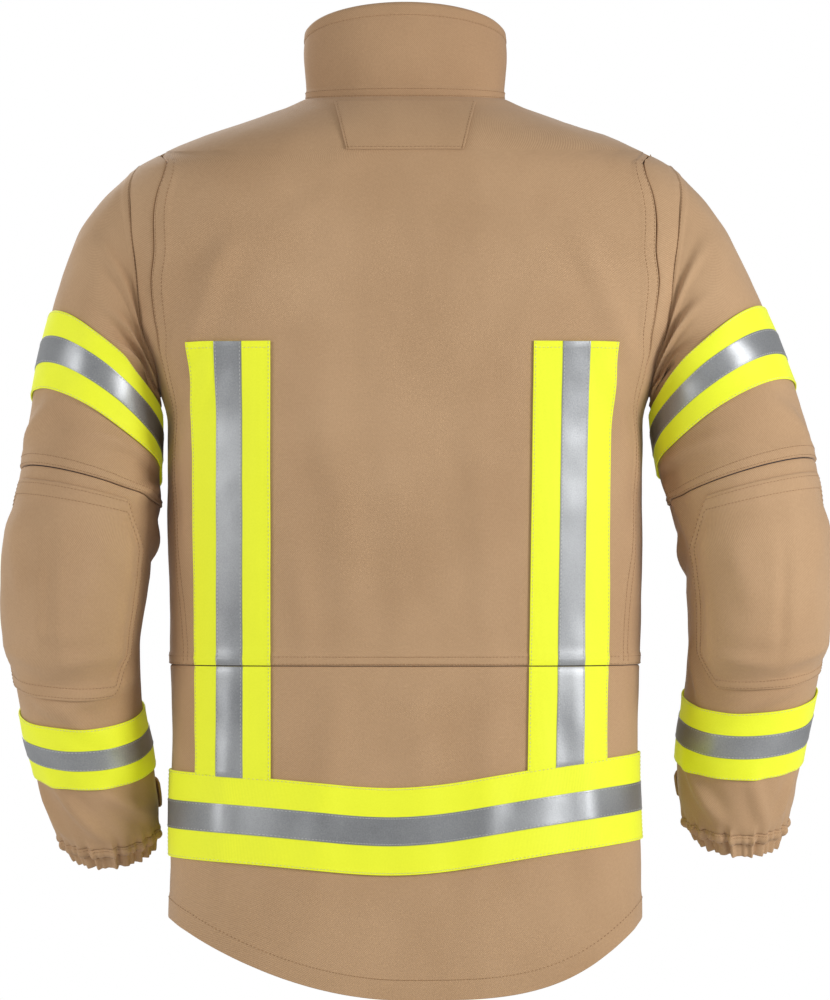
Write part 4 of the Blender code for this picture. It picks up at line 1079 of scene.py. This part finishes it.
def sleeve_at(side):
    """The surface of one sleeve, from an angle and a station."""
    def place(turn, station):
        step = 0.02
        around = sleeve_skin(side, turn + step, station) - sleeve_skin(side, turn - step, station)
        down = (sleeve_skin(side, turn, min(station + step, SLEEVE_END))
                - sleeve_skin(side, turn, max(station - step, 0)))
        out = down.cross(around).normalized()
        point = sleeve_skin(side, turn, station)
        point += out * sleeve_relief(side, turn, station, point)
        if side == "right":
            point.x, out.x = -point.x, -out.x
        return point, out
    return place


def span(place, angles, stations):
    """Part of a sleeve, with u from one angle to another and v from one station to another."""
    low, high = (math.radians(angle) for angle in angles)
    return lambda u, v: place(low + u * (high - low), stations[0] + v * (stations[1] - stations[0]))


# %% Where a sleeve bends from the coat
def bend_of(side):
    """The two bodies, and the places where the sleeve's bend starts and ends, as one tuple."""
    sign = 1 if side == "left" else -1
    edge = sleeve_skin(side, 0.0, 3.0)
    inner = sleeve_skin(side, math.pi, 3.0)
    run = (inner - edge).normalized()
    straight = Vector((-run.z, 0, run.x))
    end = edge + straight * 0.045
    return ("coat", "sleeve_" + side, (sign * edge.x, 0, edge.z), (sign * end.x, 0, end.z))


# %% Elbow pad
PAD_ANGLES = (-10.0, 150.0)
PAD_STATIONS = (5.15, 7.60)
PAD_CHAMFER = 0.22
PAD_SIZE = (0.225, 0.152)
PAD_BASE = 0.0002
PAD_BORDER = 0.0115
PAD_CREASES = (
    (0.112, 0.035, 0.118, 0.120, 0.007, -0.0018), (0.040, 0.118, 0.100, 0.124, 0.006, 0.0022),
    (0.125, 0.124, 0.190, 0.116, 0.006, 0.0022), (0.060, 0.030, 0.085, 0.075, 0.012, 0.0014),
    (0.165, 0.030, 0.145, 0.080, 0.012, 0.0014), (0.095, 0.098, 0.150, 0.102, 0.007, 0.0016),
)


def pad_share(u, v):
    """An octagon: its sides draw in towards the two ends."""
    draw_in = max(PAD_CHAMFER - min(v, 1 - v), 0.0) * 0.75
    return draw_in + u * (1 - 2 * draw_in)


def pad_top(u, v):
    """Height of the padding: a flat sewn border, then a crown of foam with a few soft creases."""
    width, length = PAD_SIZE
    inside = min(min(u, 1 - u) * width * (1 - 1.2 * max(PAD_CHAMFER - min(v, 1 - v), 0.0)),
                 min(v, 1 - v) * length)
    crown = 1 - math.exp(-(max(inside - PAD_BORDER, 0.0) / 0.013) ** 2)
    dip = -0.0007 * math.exp(-((inside - PAD_BORDER) / 0.0022) ** 2)
    rounded = 0.0008 * ease(inside, 0, 0.0012)
    return 0.0017 + rounded + dip + crown * (0.0058 + fold_lift(PAD_CREASES, u * width, v * length))


def pad_at(side):
    inner = span(sleeve_at(side), PAD_ANGLES, PAD_STATIONS)
    return lambda u, v: inner(pad_share(u, v), v)


# %% Make both sleeves
for side in ("left", "right"):
    place = sleeve_at(side)
    bend = bend_of(side)
    arm = "sleeve_" + side
    round_lines = even(0, 1, 104)
    upper = span(place, (0, 360), (0.0, ELBOW_SEAM - 0.005))
    upper_rows = sorted(set([0, 0.004, 0.012, 0.03, 0.045, 0.06] + even(0.06, 0.955, 62)
                            + [0.968, 0.978, 0.987, 0.994, 0.998, 1]))
    cloth("upper_sleeve_cloth_" + side, upper, (0.48, 0.20), TWILL, bend,
          ("sleeve_head_" + side, "upper_sleeve_" + side), us=round_lines, vs=upper_rows, wrap=True)
    lower = span(place, (0, 360), (ELBOW_SEAM + 0.005, CUFF_SEAM - 0.005))
    lower_rows = sorted(set([0, 0.002, 0.006, 0.012] + even(0.02, 1, 78)))
    cloth("lower_sleeve_cloth_" + side, lower, (0.47, 0.30), TWILL, arm, ("lower_sleeve_" + side,),
          us=round_lines, vs=lower_rows, wrap=True)
    ribbon("upper_band_tape_" + side, span(place, (0, 360), UPPER_BAND), (TAPE_WIDTH, 0.49), bend,
           "upper_band_" + side, lengthwise="u", wrap=True, cells=0.0047)
    ribbon("lower_band_tape_" + side, span(place, (0, 360), LOWER_BAND), (TAPE_WIDTH, 0.42), arm,
           "lower_band_" + side, lengthwise="u", wrap=True, cells=0.0041)
    pad = cloth("elbow_pad_cloth_" + side, pad_at(side), PAD_SIZE, TWILL, arm, ("elbow_pad_" + side,),
                lift=pad_top, thick=lambda u, v: pad_top(u, v) - PAD_BASE,
                us=fine(PAD_SIZE[0], near=(0.0008, 0.0018, 0.0050, 0.0085, 0.0105, 0.0125), cell=0.004),
                vs=fine(PAD_SIZE[1], near=(0.0008, 0.0018, 0.0050, 0.0085, 0.0105, 0.0125), cell=0.004))
    for inset in (0.0024, 0.0095):
        du, dv = inset / PAD_SIZE[0], inset / PAD_SIZE[1]
        for path in (lambda t: (du, dv + t * (1 - 2 * dv)), lambda t: (1 - du, dv + t * (1 - 2 * dv)),
                     lambda t: (du + t * (1 - 2 * du), dv), lambda t: (du + t * (1 - 2 * du), 1 - dv)):
            sew("pad_" + side, pad_at(side), path, lambda u, v: pad_top(u, v) + 0.0001, pitch=0.0032)
    tie_off("pad_" + side, TAN_THREAD, arm)
    for offset in (0.0019, 0.0082):
        sew("elbow_seam_" + side, place,
            lambda t: (t * 2 * math.pi, ELBOW_SEAM - offset / STATION), 0.0001)
    tie_off("elbow_seam_" + side, TAN_THREAD, arm)
    sew("armhole_seam_" + side, place, lambda t: (t * 2 * math.pi, ARMHOLE_ROW / HEAD_STATION), 0.0001)
    tie_off("armhole_seam_" + side, TAN_THREAD, "coat")
print("sleeves made")

# %% [markdown]
# ### Cuffs
# The sleeve ends in a casing that elastic gathers: the cloth swells between two rows of stitches and
# flares in a small frill. A knit wristlet shows inside, and a tab with a rounded end closes over the
# inner side of the wrist.

# %% Cuffs, wristlets and tabs
CUFF_TAB_ANGLES = (200.0, 272.0)
CUFF_TAB_STATIONS = (9.40, 9.95)
for side in ("left", "right"):
    place = sleeve_at(side)
    arm = "sleeve_" + side
    casing = span(place, (0, 360), (CUFF_SEAM + 0.005, SLEEVE_END))

    def swell(u, v):
        """The casing bulges above the elastic and flares below it."""
        return 0.0028 * math.sin(math.pi * min(v / 0.42, 1)) ** 0.8 + 0.0022 * ease(v, 0.45, 0.95)

    cloth("cuff_cloth_" + side, casing, (0.31, 0.031), TWILL, arm, ("cuff_" + side,),
          us=even(0, 1, 240), vs=[0, 0.05, 0.12, 0.2, 0.3, 0.38, 0.42, 0.46, 0.55, 0.65, 0.76,
                                  0.87, 0.95, 1], wrap=True, lift=swell)
    sew("cuff_" + side, casing, lambda t: (t, 0.43), lambda u, v: swell(u, v) + 0.0001, pitch=0.0030)
    sew("cuff_" + side, casing, lambda t: (t, 0.06), lambda u, v: swell(u, v) + 0.0001, pitch=0.0030)
    tie_off("cuff_" + side, TAN_THREAD, arm)
    knit = span(place, (0, 360), (9.5, 10.9))

    def ribs(u, v):
        """Ribs of the knit, pulled in towards the hand."""
        return -0.0045 - 0.004 * v + 0.0007 * math.cos(2 * math.pi * 52 * u)

    cloth("wristlet_knit_" + side, knit, (0.30, 0.06), KNIT, arm, ("wristlet_" + side,),
          us=even(0, 1, 312), vs=even(0, 1, 10), wrap=True, lift=ribs, thick=0.0014)
    tab = span(place, CUFF_TAB_ANGLES, CUFF_TAB_STATIONS)

    def tab_end(u, v):
        """The free end of the tab is rounded."""
        corner = max(0.10 - u, 0.0) / 0.10
        squeeze = 1 - 0.30 * corner ** 2
        return u, 0.5 + (v - 0.5) * squeeze

    def tab_lift(u, v):
        """The tip stands off the cuff a little."""
        return 0.0034 + 0.0016 * (1 - ease(u, 0.0, 0.35))


    def tab_place(u, v, tab=tab):
        """A place on the tab with its rounded end."""
        return tab(*tab_end(u, v))

    cloth("cuff_tab_cloth_" + side, tab_place, (0.075, 0.028), TWILL, "cuff_tab_" + side,
          ("cuff_tab_" + side,), us=fine(0.085, near=(0.0008, 0.002, 0.005), cell=0.004),
          vs=fine(0.033, near=(0.0008, 0.002, 0.005), cell=0.004), lift=tab_lift, thick=0.0020)
    for path in (lambda t: (0.03, 0.1 + 0.8 * t), lambda t: (0.03 + 0.94 * t, 0.1),
                 lambda t: (0.03 + 0.94 * t, 0.9), lambda t: (0.97, 0.1 + 0.8 * t)):
        sew("cuff_tab_" + side, tab_place, path, lambda u, v: tab_lift(u, v) + 0.0001)
    tie_off("cuff_tab_" + side, TAN_THREAD, "cuff_tab_" + side)
    lining = span(place, (0, 360), (3.5, 9.3))

    def quilt_sleeve(u, v):
        """Lining quilted along its length."""
        return -0.0064 - 0.0008 * (0.5 + 0.5 * math.cos(2 * math.pi * 10 * u))

    cloth("sleeve_lining_" + side, lining, (0.42, 0.36), LINING, arm, ("sleeve_liner_" + side,),
          us=even(0, 1, 80), vs=even(0, 1, 40), wrap=True, lift=quilt_sleeve, thick=0.0014)
print("cuffs made")

# %% [markdown]
# ## Collar
# The collar stands up in two layers of twill. Its top is one fold, so the outside rolls over the edge
# and down the inside, where the lining meets it. One row of stitches runs below the top edge and two
# hold the neck seam. A patch below it carries the hanger loop's stitching.

# %% Shape of the collar
COLLAR_THICK = 0.0048
ROLL = 0.90


def collar_at(turn, rise):
    """Place on the collar and the way out of it, with a little slackness."""
    step = 0.004
    around = collar_skin(turn + step, rise) - collar_skin(turn - step, rise)
    up = collar_skin(turn, rise + step) - collar_skin(turn, rise - step)
    out = around.cross(up).normalized()
    point = collar_skin(turn, rise)
    slack = ripple(point, 0.050, 0.0014) + ripple(point, 0.018, 0.0004)
    return point + out * slack * math.sin(math.pi * min(max(rise, 0), 1)), out


def collar_turn(u):
    start = -math.pi / 2 + COLLAR_SLIT / NECK_FRONT
    return start + u * (math.pi - 2 * start)


def collar_place(u, v):
    """v runs up the outside, over the top edge and a little way down the inside."""
    if v <= ROLL:
        return collar_at(collar_turn(u), v / ROLL * 1.010 - 0.035)
    over = (v - ROLL) / (1 - ROLL)
    point, out = collar_at(collar_turn(u), 0.975)
    up = (point - collar_at(collar_turn(u), 0.90)[0]).normalized()
    half = COLLAR_THICK / 2
    if over < 0.6:
        angle = over / 0.6 * math.pi
        way = out * math.cos(angle) + up * math.sin(angle)
        return point - out * half + way * half, way
    return point - out * COLLAR_THICK - up * (over - 0.6) * 0.012, -out


def collar_lift(u, v):
    """Lap at the neck seam, and the dip that the top stitches pull."""
    if v > ROLL:
        return 0.0
    height = v / ROLL * 0.083
    return (0.0008 * (1 - ease(height, 0.0085, 0.0110)) + 0.0006 * ease(height, 0.0722, 0.0745)
            - 0.0004 * math.exp(-((height - 0.0735) / 0.0012) ** 2))


collar_rows = sorted(set([0, 0.006, 0.015, 0.05, 0.086, 0.1, 0.115] + even(0.13, 0.76, 20)
                         + [0.775, 0.785, 0.795, 0.805, 0.815, 0.83, 0.86, 0.88] + even(ROLL, 1, 10)))
cloth("collar_cloth", collar_place, (0.50, 0.092), SHADED_COLLAR_TWILL, "coat", ("collar_shell",),
      us=fine(0.50, near=(0.0006, 0.0016, 0.004), cell=0.0045), vs=collar_rows, lift=collar_lift,
      thick=0.0010)


def collar_inside(u, v):
    point, out = collar_at(collar_turn(0.004 + u * 0.992), 0.005 + v * 0.94)
    return point, out


cloth("collar_lining_cloth", collar_inside, (0.48, 0.078), LINING, "coat", ("collar_lining",),
      us=even(0, 1, 110), vs=even(0, 1, 18), lift=-0.0036, thick=0.0012)
for row in (0.0018, 0.0080, 0.0735):
    sew("collar", collar_place, lambda t: (0.008 + t * 0.984, row / 0.083 * ROLL),
        lambda u, v: collar_lift(u, v) + 0.0001)
for end in (0.010, 0.990):
    sew("collar", collar_place, lambda t: (end, 0.02 + t * 0.78),
        lambda u, v: collar_lift(u, v) + 0.0001)
tie_off("collar", TAN_THREAD, "coat")

# %% The patch below the collar and the throat tab
PATCH = (-0.003, 0.061, -0.0457, 0.0504)


def patch_place(u, v):
    top, top_half, bottom, bottom_half = PATCH
    height = top + v * (bottom - top)
    half = top_half + v * (bottom_half - top_half)
    return torso_at(turn_at(half * (1 - 2 * u), height), height)


cloth("neck_patch_cloth", patch_place, (0.11, 0.060), TWILL, "coat", ("neck_patch",), lift=0.0017,
      thick=0.0010, us=fine(0.11, near=(0.0008, 0.002, 0.005), cell=0.004),
      vs=fine(0.043, near=(0.0008, 0.002, 0.005), cell=0.004))
for path in (lambda t: (0.018, t), lambda t: (0.982, t), lambda t: (t, 0.955)):
    sew("patch", patch_place, path, 0.0018)
tie_off("patch", TAN_THREAD, "coat")

TAB_ANGLES = (-118.0, -62.0)
TAB_RISE = (0.25, 0.62)


def tab_place(u, v):
    low, high = (math.radians(angle) for angle in TAB_ANGLES)
    round_end = 1 - 0.35 * (max(0.12 - u, 0.0) / 0.12) ** 2
    rise = sum(TAB_RISE) / 2 + (v - 0.5) * (TAB_RISE[1] - TAB_RISE[0]) * round_end
    return collar_at(low + u * (high - low), rise)


cloth("collar_tab_cloth", tab_place, (0.079, 0.031), TWILL, "collar_tab", ("collar_tab",), lift=0.0034,
      thick=0.0020, us=fine(0.079, near=(0.0008, 0.002, 0.005), cell=0.004),
      vs=fine(0.031, near=(0.0008, 0.002, 0.005), cell=0.004))
for path in (lambda t: (0.03, 0.1 + 0.8 * t), lambda t: (0.03 + 0.94 * t, 0.1),
             lambda t: (0.03 + 0.94 * t, 0.9), lambda t: (0.97, 0.1 + 0.8 * t)):
    sew("collar_tab", tab_place, path, 0.0035)
tie_off("collar_tab", TAN_THREAD, "collar_tab")
print("collar made")

# %% [markdown]
# ## Lining
# A quilted lining hangs inside the shell, sewn through in squares so that its filling puffs up between
# the rows. It shows at the neck, at the hem and down the inside of the fronts.

# %% Quilted lining
LINER_EDGE = 0.012
QUILT = 0.048


def liner_place(u, v):
    start = turn_at(LINER_EDGE, HEM, front=True)
    turn = start + u * (math.pi - 2 * start)
    top = neckline(round(turn, 4)) - 0.002
    return torso_at(turn, top + v * (HEM + 0.040 - top))


def quilt(u, v):
    """Thickness of the lining, from thin at a sewn row to full in the middle of a square."""
    return 0.0012 + 0.0030 * (abs(math.sin(math.pi * u * 1.10 / QUILT))
                              * abs(math.sin(math.pi * v * 0.66 / QUILT))) ** 0.5


piece = cloth("body_lining", liner_place, (1.10, 0.66), LINING, "coat", ("body_liner",), lift=-0.0070,
              thick=quilt, us=even(0, 1, 184), vs=even(0, 1, 110))
for side in ("left", "right"):
    armhole_trim(piece, side)
print("lining quilted")

# %% [markdown]
# ## Front closure
# A moulded zip runs up the middle, hidden by a storm flap that is sewn on at one side and held at the
# other by hook and loop tape. The slider and its puller are cast zinc; their solids are already right,
# so they only get the finish.

# %% Zip, storm flap and its fastening
ZIP_TOP, ZIP_BOTTOM = -0.0665, -0.700
FLAP_TOP = -0.070
TOOTH = (0.0040, 0.0021, 0.0016)
TOOTH_PITCH = 0.0030


def rail_at(x_first, x_last, top, bottom, slack=0.0):
    """Place on the front closure, u across and v down."""
    def at(u, v):
        x = x_first + u * (x_last - x_first)
        height = top + v * (bottom - top)
        point = rail(x, height, 0.0)
        out = (rail(x, height, 0.01) - point).normalized()
        return point + out * slack * (1 + noise.noise(point / 0.06)), out
    return at


for side, sign in (("left", 1), ("right", -1)):
    tape_place = rail_at(sign * 0.0006, sign * 0.020, ZIP_TOP, ZIP_BOTTOM)
    cloth("zip_tape_" + side, tape_place, (0.0194, 0.633), ZIP_CLOTH, "coat", ("zip_half_" + side,),
          lift=-0.0030, thick=0.0008, us=even(0, 1, 6), vs=even(0, 1, 60), soft=0)
    block = bmesh.new()
    bmesh.ops.create_cube(block, size=1, matrix=Matrix.Diagonal((*TOOTH, 1)))
    bmesh.ops.bevel(block, geom=block.edges[:], offset=0.0004, segments=1, profile=0.5, affect="EDGES",
                    material=-1)
    tooth = bpy.data.meshes.new("tooth")
    block.to_mesh(tooth)
    block.free()
    teeth = bmesh.new()
    count = int((ZIP_TOP - ZIP_BOTTOM) / TOOTH_PITCH)
    for index in range(count):
        height = ZIP_TOP - TOOTH_PITCH * (index + (0.5 if side == "left" else 0.0))
        point = rail(sign * 0.0012, height, -0.0018)
        up = (rail(0, height + 0.01, 0) - rail(0, height, 0)).normalized()
        out = Vector((1, 0, 0)).cross(up)
        first = len(teeth.verts)
        teeth.from_mesh(tooth)
        teeth.verts.ensure_lookup_table()
        turn = Matrix((Vector((1, 0, 0)), up, out)).transposed()
        bmesh.ops.transform(teeth, matrix=Matrix.Translation(point) @ turn.to_4x4(),
                            verts=teeth.verts[first:])
    bpy.data.meshes.remove(tooth)
    keep("zip_teeth_" + side, teeth, MOULDED, "coat")

storm = rail_at(-0.036, 0.036, FLAP_TOP, ZIP_BOTTOM, slack=0.0004)


def storm_lift(u, v):
    """The root is sewn down; the rest lies over the zip."""
    return 0.0052 - 0.0010 * ease(u, 0.90, 0.99)


cloth("storm_flap_cloth", storm, (0.072, 0.63), TWILL, "storm_flap", ("storm_flap",), lift=storm_lift,
      thick=lambda u, v: 0.0018 + 0.0022 * ease(u, 0.92, 0.96), us=fine(0.072, cell=0.004),
      vs=fine(0.63, near=(0.0008, 0.002, 0.005), cell=0.009))
for share in (0.03, 0.14, 0.44, 0.90, 0.975):
    sew("storm_flap", storm, lambda t: (share, t), lambda u, v: storm_lift(u, v) + 0.0001)
for share in (0.003, 0.997):
    sew("storm_flap", storm, lambda t: (t, share), lambda u, v: storm_lift(u, v) + 0.0001)
tie_off("storm_flap", TAN_THREAD, "storm_flap")
for name, lift, body in (("storm_flap_loop", 0.0018, "coat"), ("storm_flap_hook", 0.0032, "storm_flap")):
    cloth(name + "_tape", rail_at(-0.034, -0.016, FLAP_TOP - 0.012, ZIP_BOTTOM + 0.012), (0.018, 0.606),
          FUZZ, body, (name,), lift=lift, thick=0.0009, us=even(0, 1, 8), vs=even(0, 1, 70),
          soft=0.0002)
for name in ("zip_slider", "zip_puller", "d_ring"):
    solid = bpy.data.objects[name]
    for place in solid.material_slots:
        place.material = ZINC
LOOP_WEBBING = weave("hanger_loop_webbing", "#a98660", "#7c6044", 0.0016, pattern="X", bump=0.6,
                     coordinates="Object")
for place in bpy.data.objects["hanger_loop"].material_slots:
    place.material = LOOP_WEBBING
print("closure made")

# %% [markdown]
# ## Pockets
# A patch pocket with depth has a gusset round it, so that it can hold gloves. Its face stands off the
# coat with round edges. The flap starts above the mouth, slopes out over it and hangs down the face.

# %% Pockets and flaps
SIDE_POCKET = (0.050, 0.125, -0.395, -0.560, 0.024)
RADIO_POCKET = (0.046, 0.058, -0.170, -0.325, 0.032)
SIDE_FLAP = (0.023, 0.045)
RADIO_FLAP = (0.018, 0.036)


def pocket_place(start, width, first, last, side):
    """Place under a pocket or a flap; u runs across from the front and v down."""
    def at(u, v):
        height = first + v * (last - first)
        turn = walk(turn_at(start, height, front=True), height, u * width)
        turn = turn if side == "left" else math.pi - turn
        point = torso_skin(turn, height)
        step = 0.002
        around = torso_skin(turn + step, height) - torso_skin(turn - step, height)
        up = torso_skin(turn, height + step) - torso_skin(turn, height - step)
        return point, around.cross(up).normalized()
    return at


def rounded(inside, reach, power=2.6):
    """Height, from 0 to 1, of a soft wall at a distance inside its outline."""
    return (1 - (1 - min(max(inside, 0) / reach, 1.0)) ** power) ** (1 / power)


def make_pocket(name, sizes, flap, side, flap_body):
    start, width, top, bottom, depth = sizes
    length = top - bottom
    place = pocket_place(start, width, top, bottom, side)

    def face(u, v):
        inside = min(u * width, (1 - u) * width, (1 - v) * length)
        sag = 0.0012 * noise.noise(Vector((u * 3, v * 4, width * 40)))
        return 0.0034 + (depth - 0.0042) * rounded(inside, 0.013) + sag * rounded(inside, 0.03)

    walls = (0.0006, 0.0014, 0.0028, 0.0048, 0.0074, 0.0104, 0.0134)
    cloth(name + "_cloth", place, (width, length), TWILL, "coat", (name,), lift=face, thick=0.0015,
          us=fine(width, near=walls, cell=0.005), vs=fine(length, near=walls, cell=0.005))
    for inset in (0.0150, 0.0215):
        u0, v1 = inset / width, 1 - inset / length
        for path in (lambda t: (u0, t * v1), lambda t: (1 - u0, t * v1),
                     lambda t: (u0 + t * (1 - 2 * u0), v1)):
            sew(name, place, path, lambda u, v: face(u, v) + 0.0001)
    tie_off(name, TAN_THREAD, "coat")

    above, below = flap
    root, low, wide = top + above, top - below, width + 0.006
    over = pocket_place(start - 0.003, wide, root, low, side)
    tall = root - low

    def roof(u, v):
        edge = 0.0016 * (1 - ease(min(u, 1 - u) * wide, 0.0, 0.008))
        return 0.0034 + (depth + 0.0012 - 0.0034) * rounded(v * tall, 0.021) - edge

    cloth(name + "_flap_cloth", over, (wide, tall), TWILL, flap_body, (flap_node(name),),
          lift=roof, thick=0.0019, us=fine(wide, near=(0.0008, 0.002, 0.005), cell=0.004),
          vs=fine(tall, near=(0.0006, 0.0014, 0.0030, 0.0056), cell=0.0035))
    for inset in (0.0022, 0.0085):
        u0, v1 = inset / wide, 1 - inset / tall
        for path in (lambda t: (u0, 0.34 + t * (v1 - 0.34)), lambda t: (1 - u0, 0.34 + t * (v1 - 0.34)),
                     lambda t: (u0 + t * (1 - 2 * u0), v1)):
            sew(name + "_flap", over, path, lambda u, v: roof(u, v) + 0.0001)
    tie_off(name + "_flap", TAN_THREAD, flap_body)


def flap_node(name):
    """The solid that a pocket's flap stands for."""
    return "radio_pocket_flap" if name == "radio_pocket" else name.replace("pocket", "pocket_flap")


for side in ("left", "right"):
    make_pocket("side_pocket_" + side, SIDE_POCKET, SIDE_FLAP, side, "side_flap_" + side)
make_pocket("radio_pocket", RADIO_POCKET, RADIO_FLAP, "left", "radio_flap")
print("pockets made")

# %% [markdown]
# ## Name field and ring tab
# A strip of loop pile takes a name badge, and a folded tab of webbing carries a D-ring for a glove
# strap. Both lie flat on the right of the chest.

# %% Small pieces on the chest
def frame_on_chest(x, height, lift):
    """A frame that lies flat on the chest: X across, Y up the cloth and Z outwards."""
    turn = turn_at(x, height, front=True)
    point = torso_skin(turn, height)
    step = 0.002
    around = torso_skin(turn + step, height) - torso_skin(turn - step, height)
    rise = torso_skin(turn, height + step) - torso_skin(turn, height - step)
    outward = around.cross(rise).normalized()
    across = Vector((1, 0, 0))
    across = (across - outward * across.dot(outward)).normalized()
    place = Matrix((across, outward.cross(across), outward)).transposed().to_4x4()
    place.translation = point + outward * lift
    return place


FIELD = weave("loop_pile_field", "#a5825f", "#7b5f43", 0.0018, roughness=0.95, sheen=0.5, bump=0.9,
              cloudy=0.2, coordinates="Object")
for name, size, at, lift, finish, slot_name, node in (
        ("name_field_pile", (0.065, 0.025, 0.0025), (-0.078, -0.215), 0.00245, FIELD, "hook_and_loop",
         "name_field"),
        ("ring_tab_webbing", (0.022, 0.026, 0.0060), (-0.078, -0.120), 0.0053, LOOP_WEBBING, "webbing",
         "ring_tab")):
    frame_of = frame_on_chest(*at, lift)
    block = bmesh.new()
    bmesh.ops.create_cube(block, size=1, matrix=Matrix.Diagonal((*size, 1)))
    bmesh.ops.bevel(block, geom=block.edges[:], offset=size[2] * 0.3, segments=3, profile=0.5,
                    affect="EDGES", material=-1)
    bmesh.ops.transform(block, matrix=frame_of, verts=block.verts[:])
    keep(name, block, finish, "coat", (node,))

    def flat(u, v):
        point = frame_of @ Vector(((u - 0.5) * size[0], (v - 0.5) * size[1], size[2] / 2))
        return point, frame_of.to_3x3().col[2]

    for path in (lambda t: (0.07, 0.12 + 0.76 * t), lambda t: (0.93, 0.12 + 0.76 * t),
                 lambda t: (0.07 + 0.86 * t, 0.12), lambda t: (0.07 + 0.86 * t, 0.88)):
        sew(name, flat, path, 0.0001)
    tie_off(name, TAN_THREAD, "coat")
print("small pieces made")
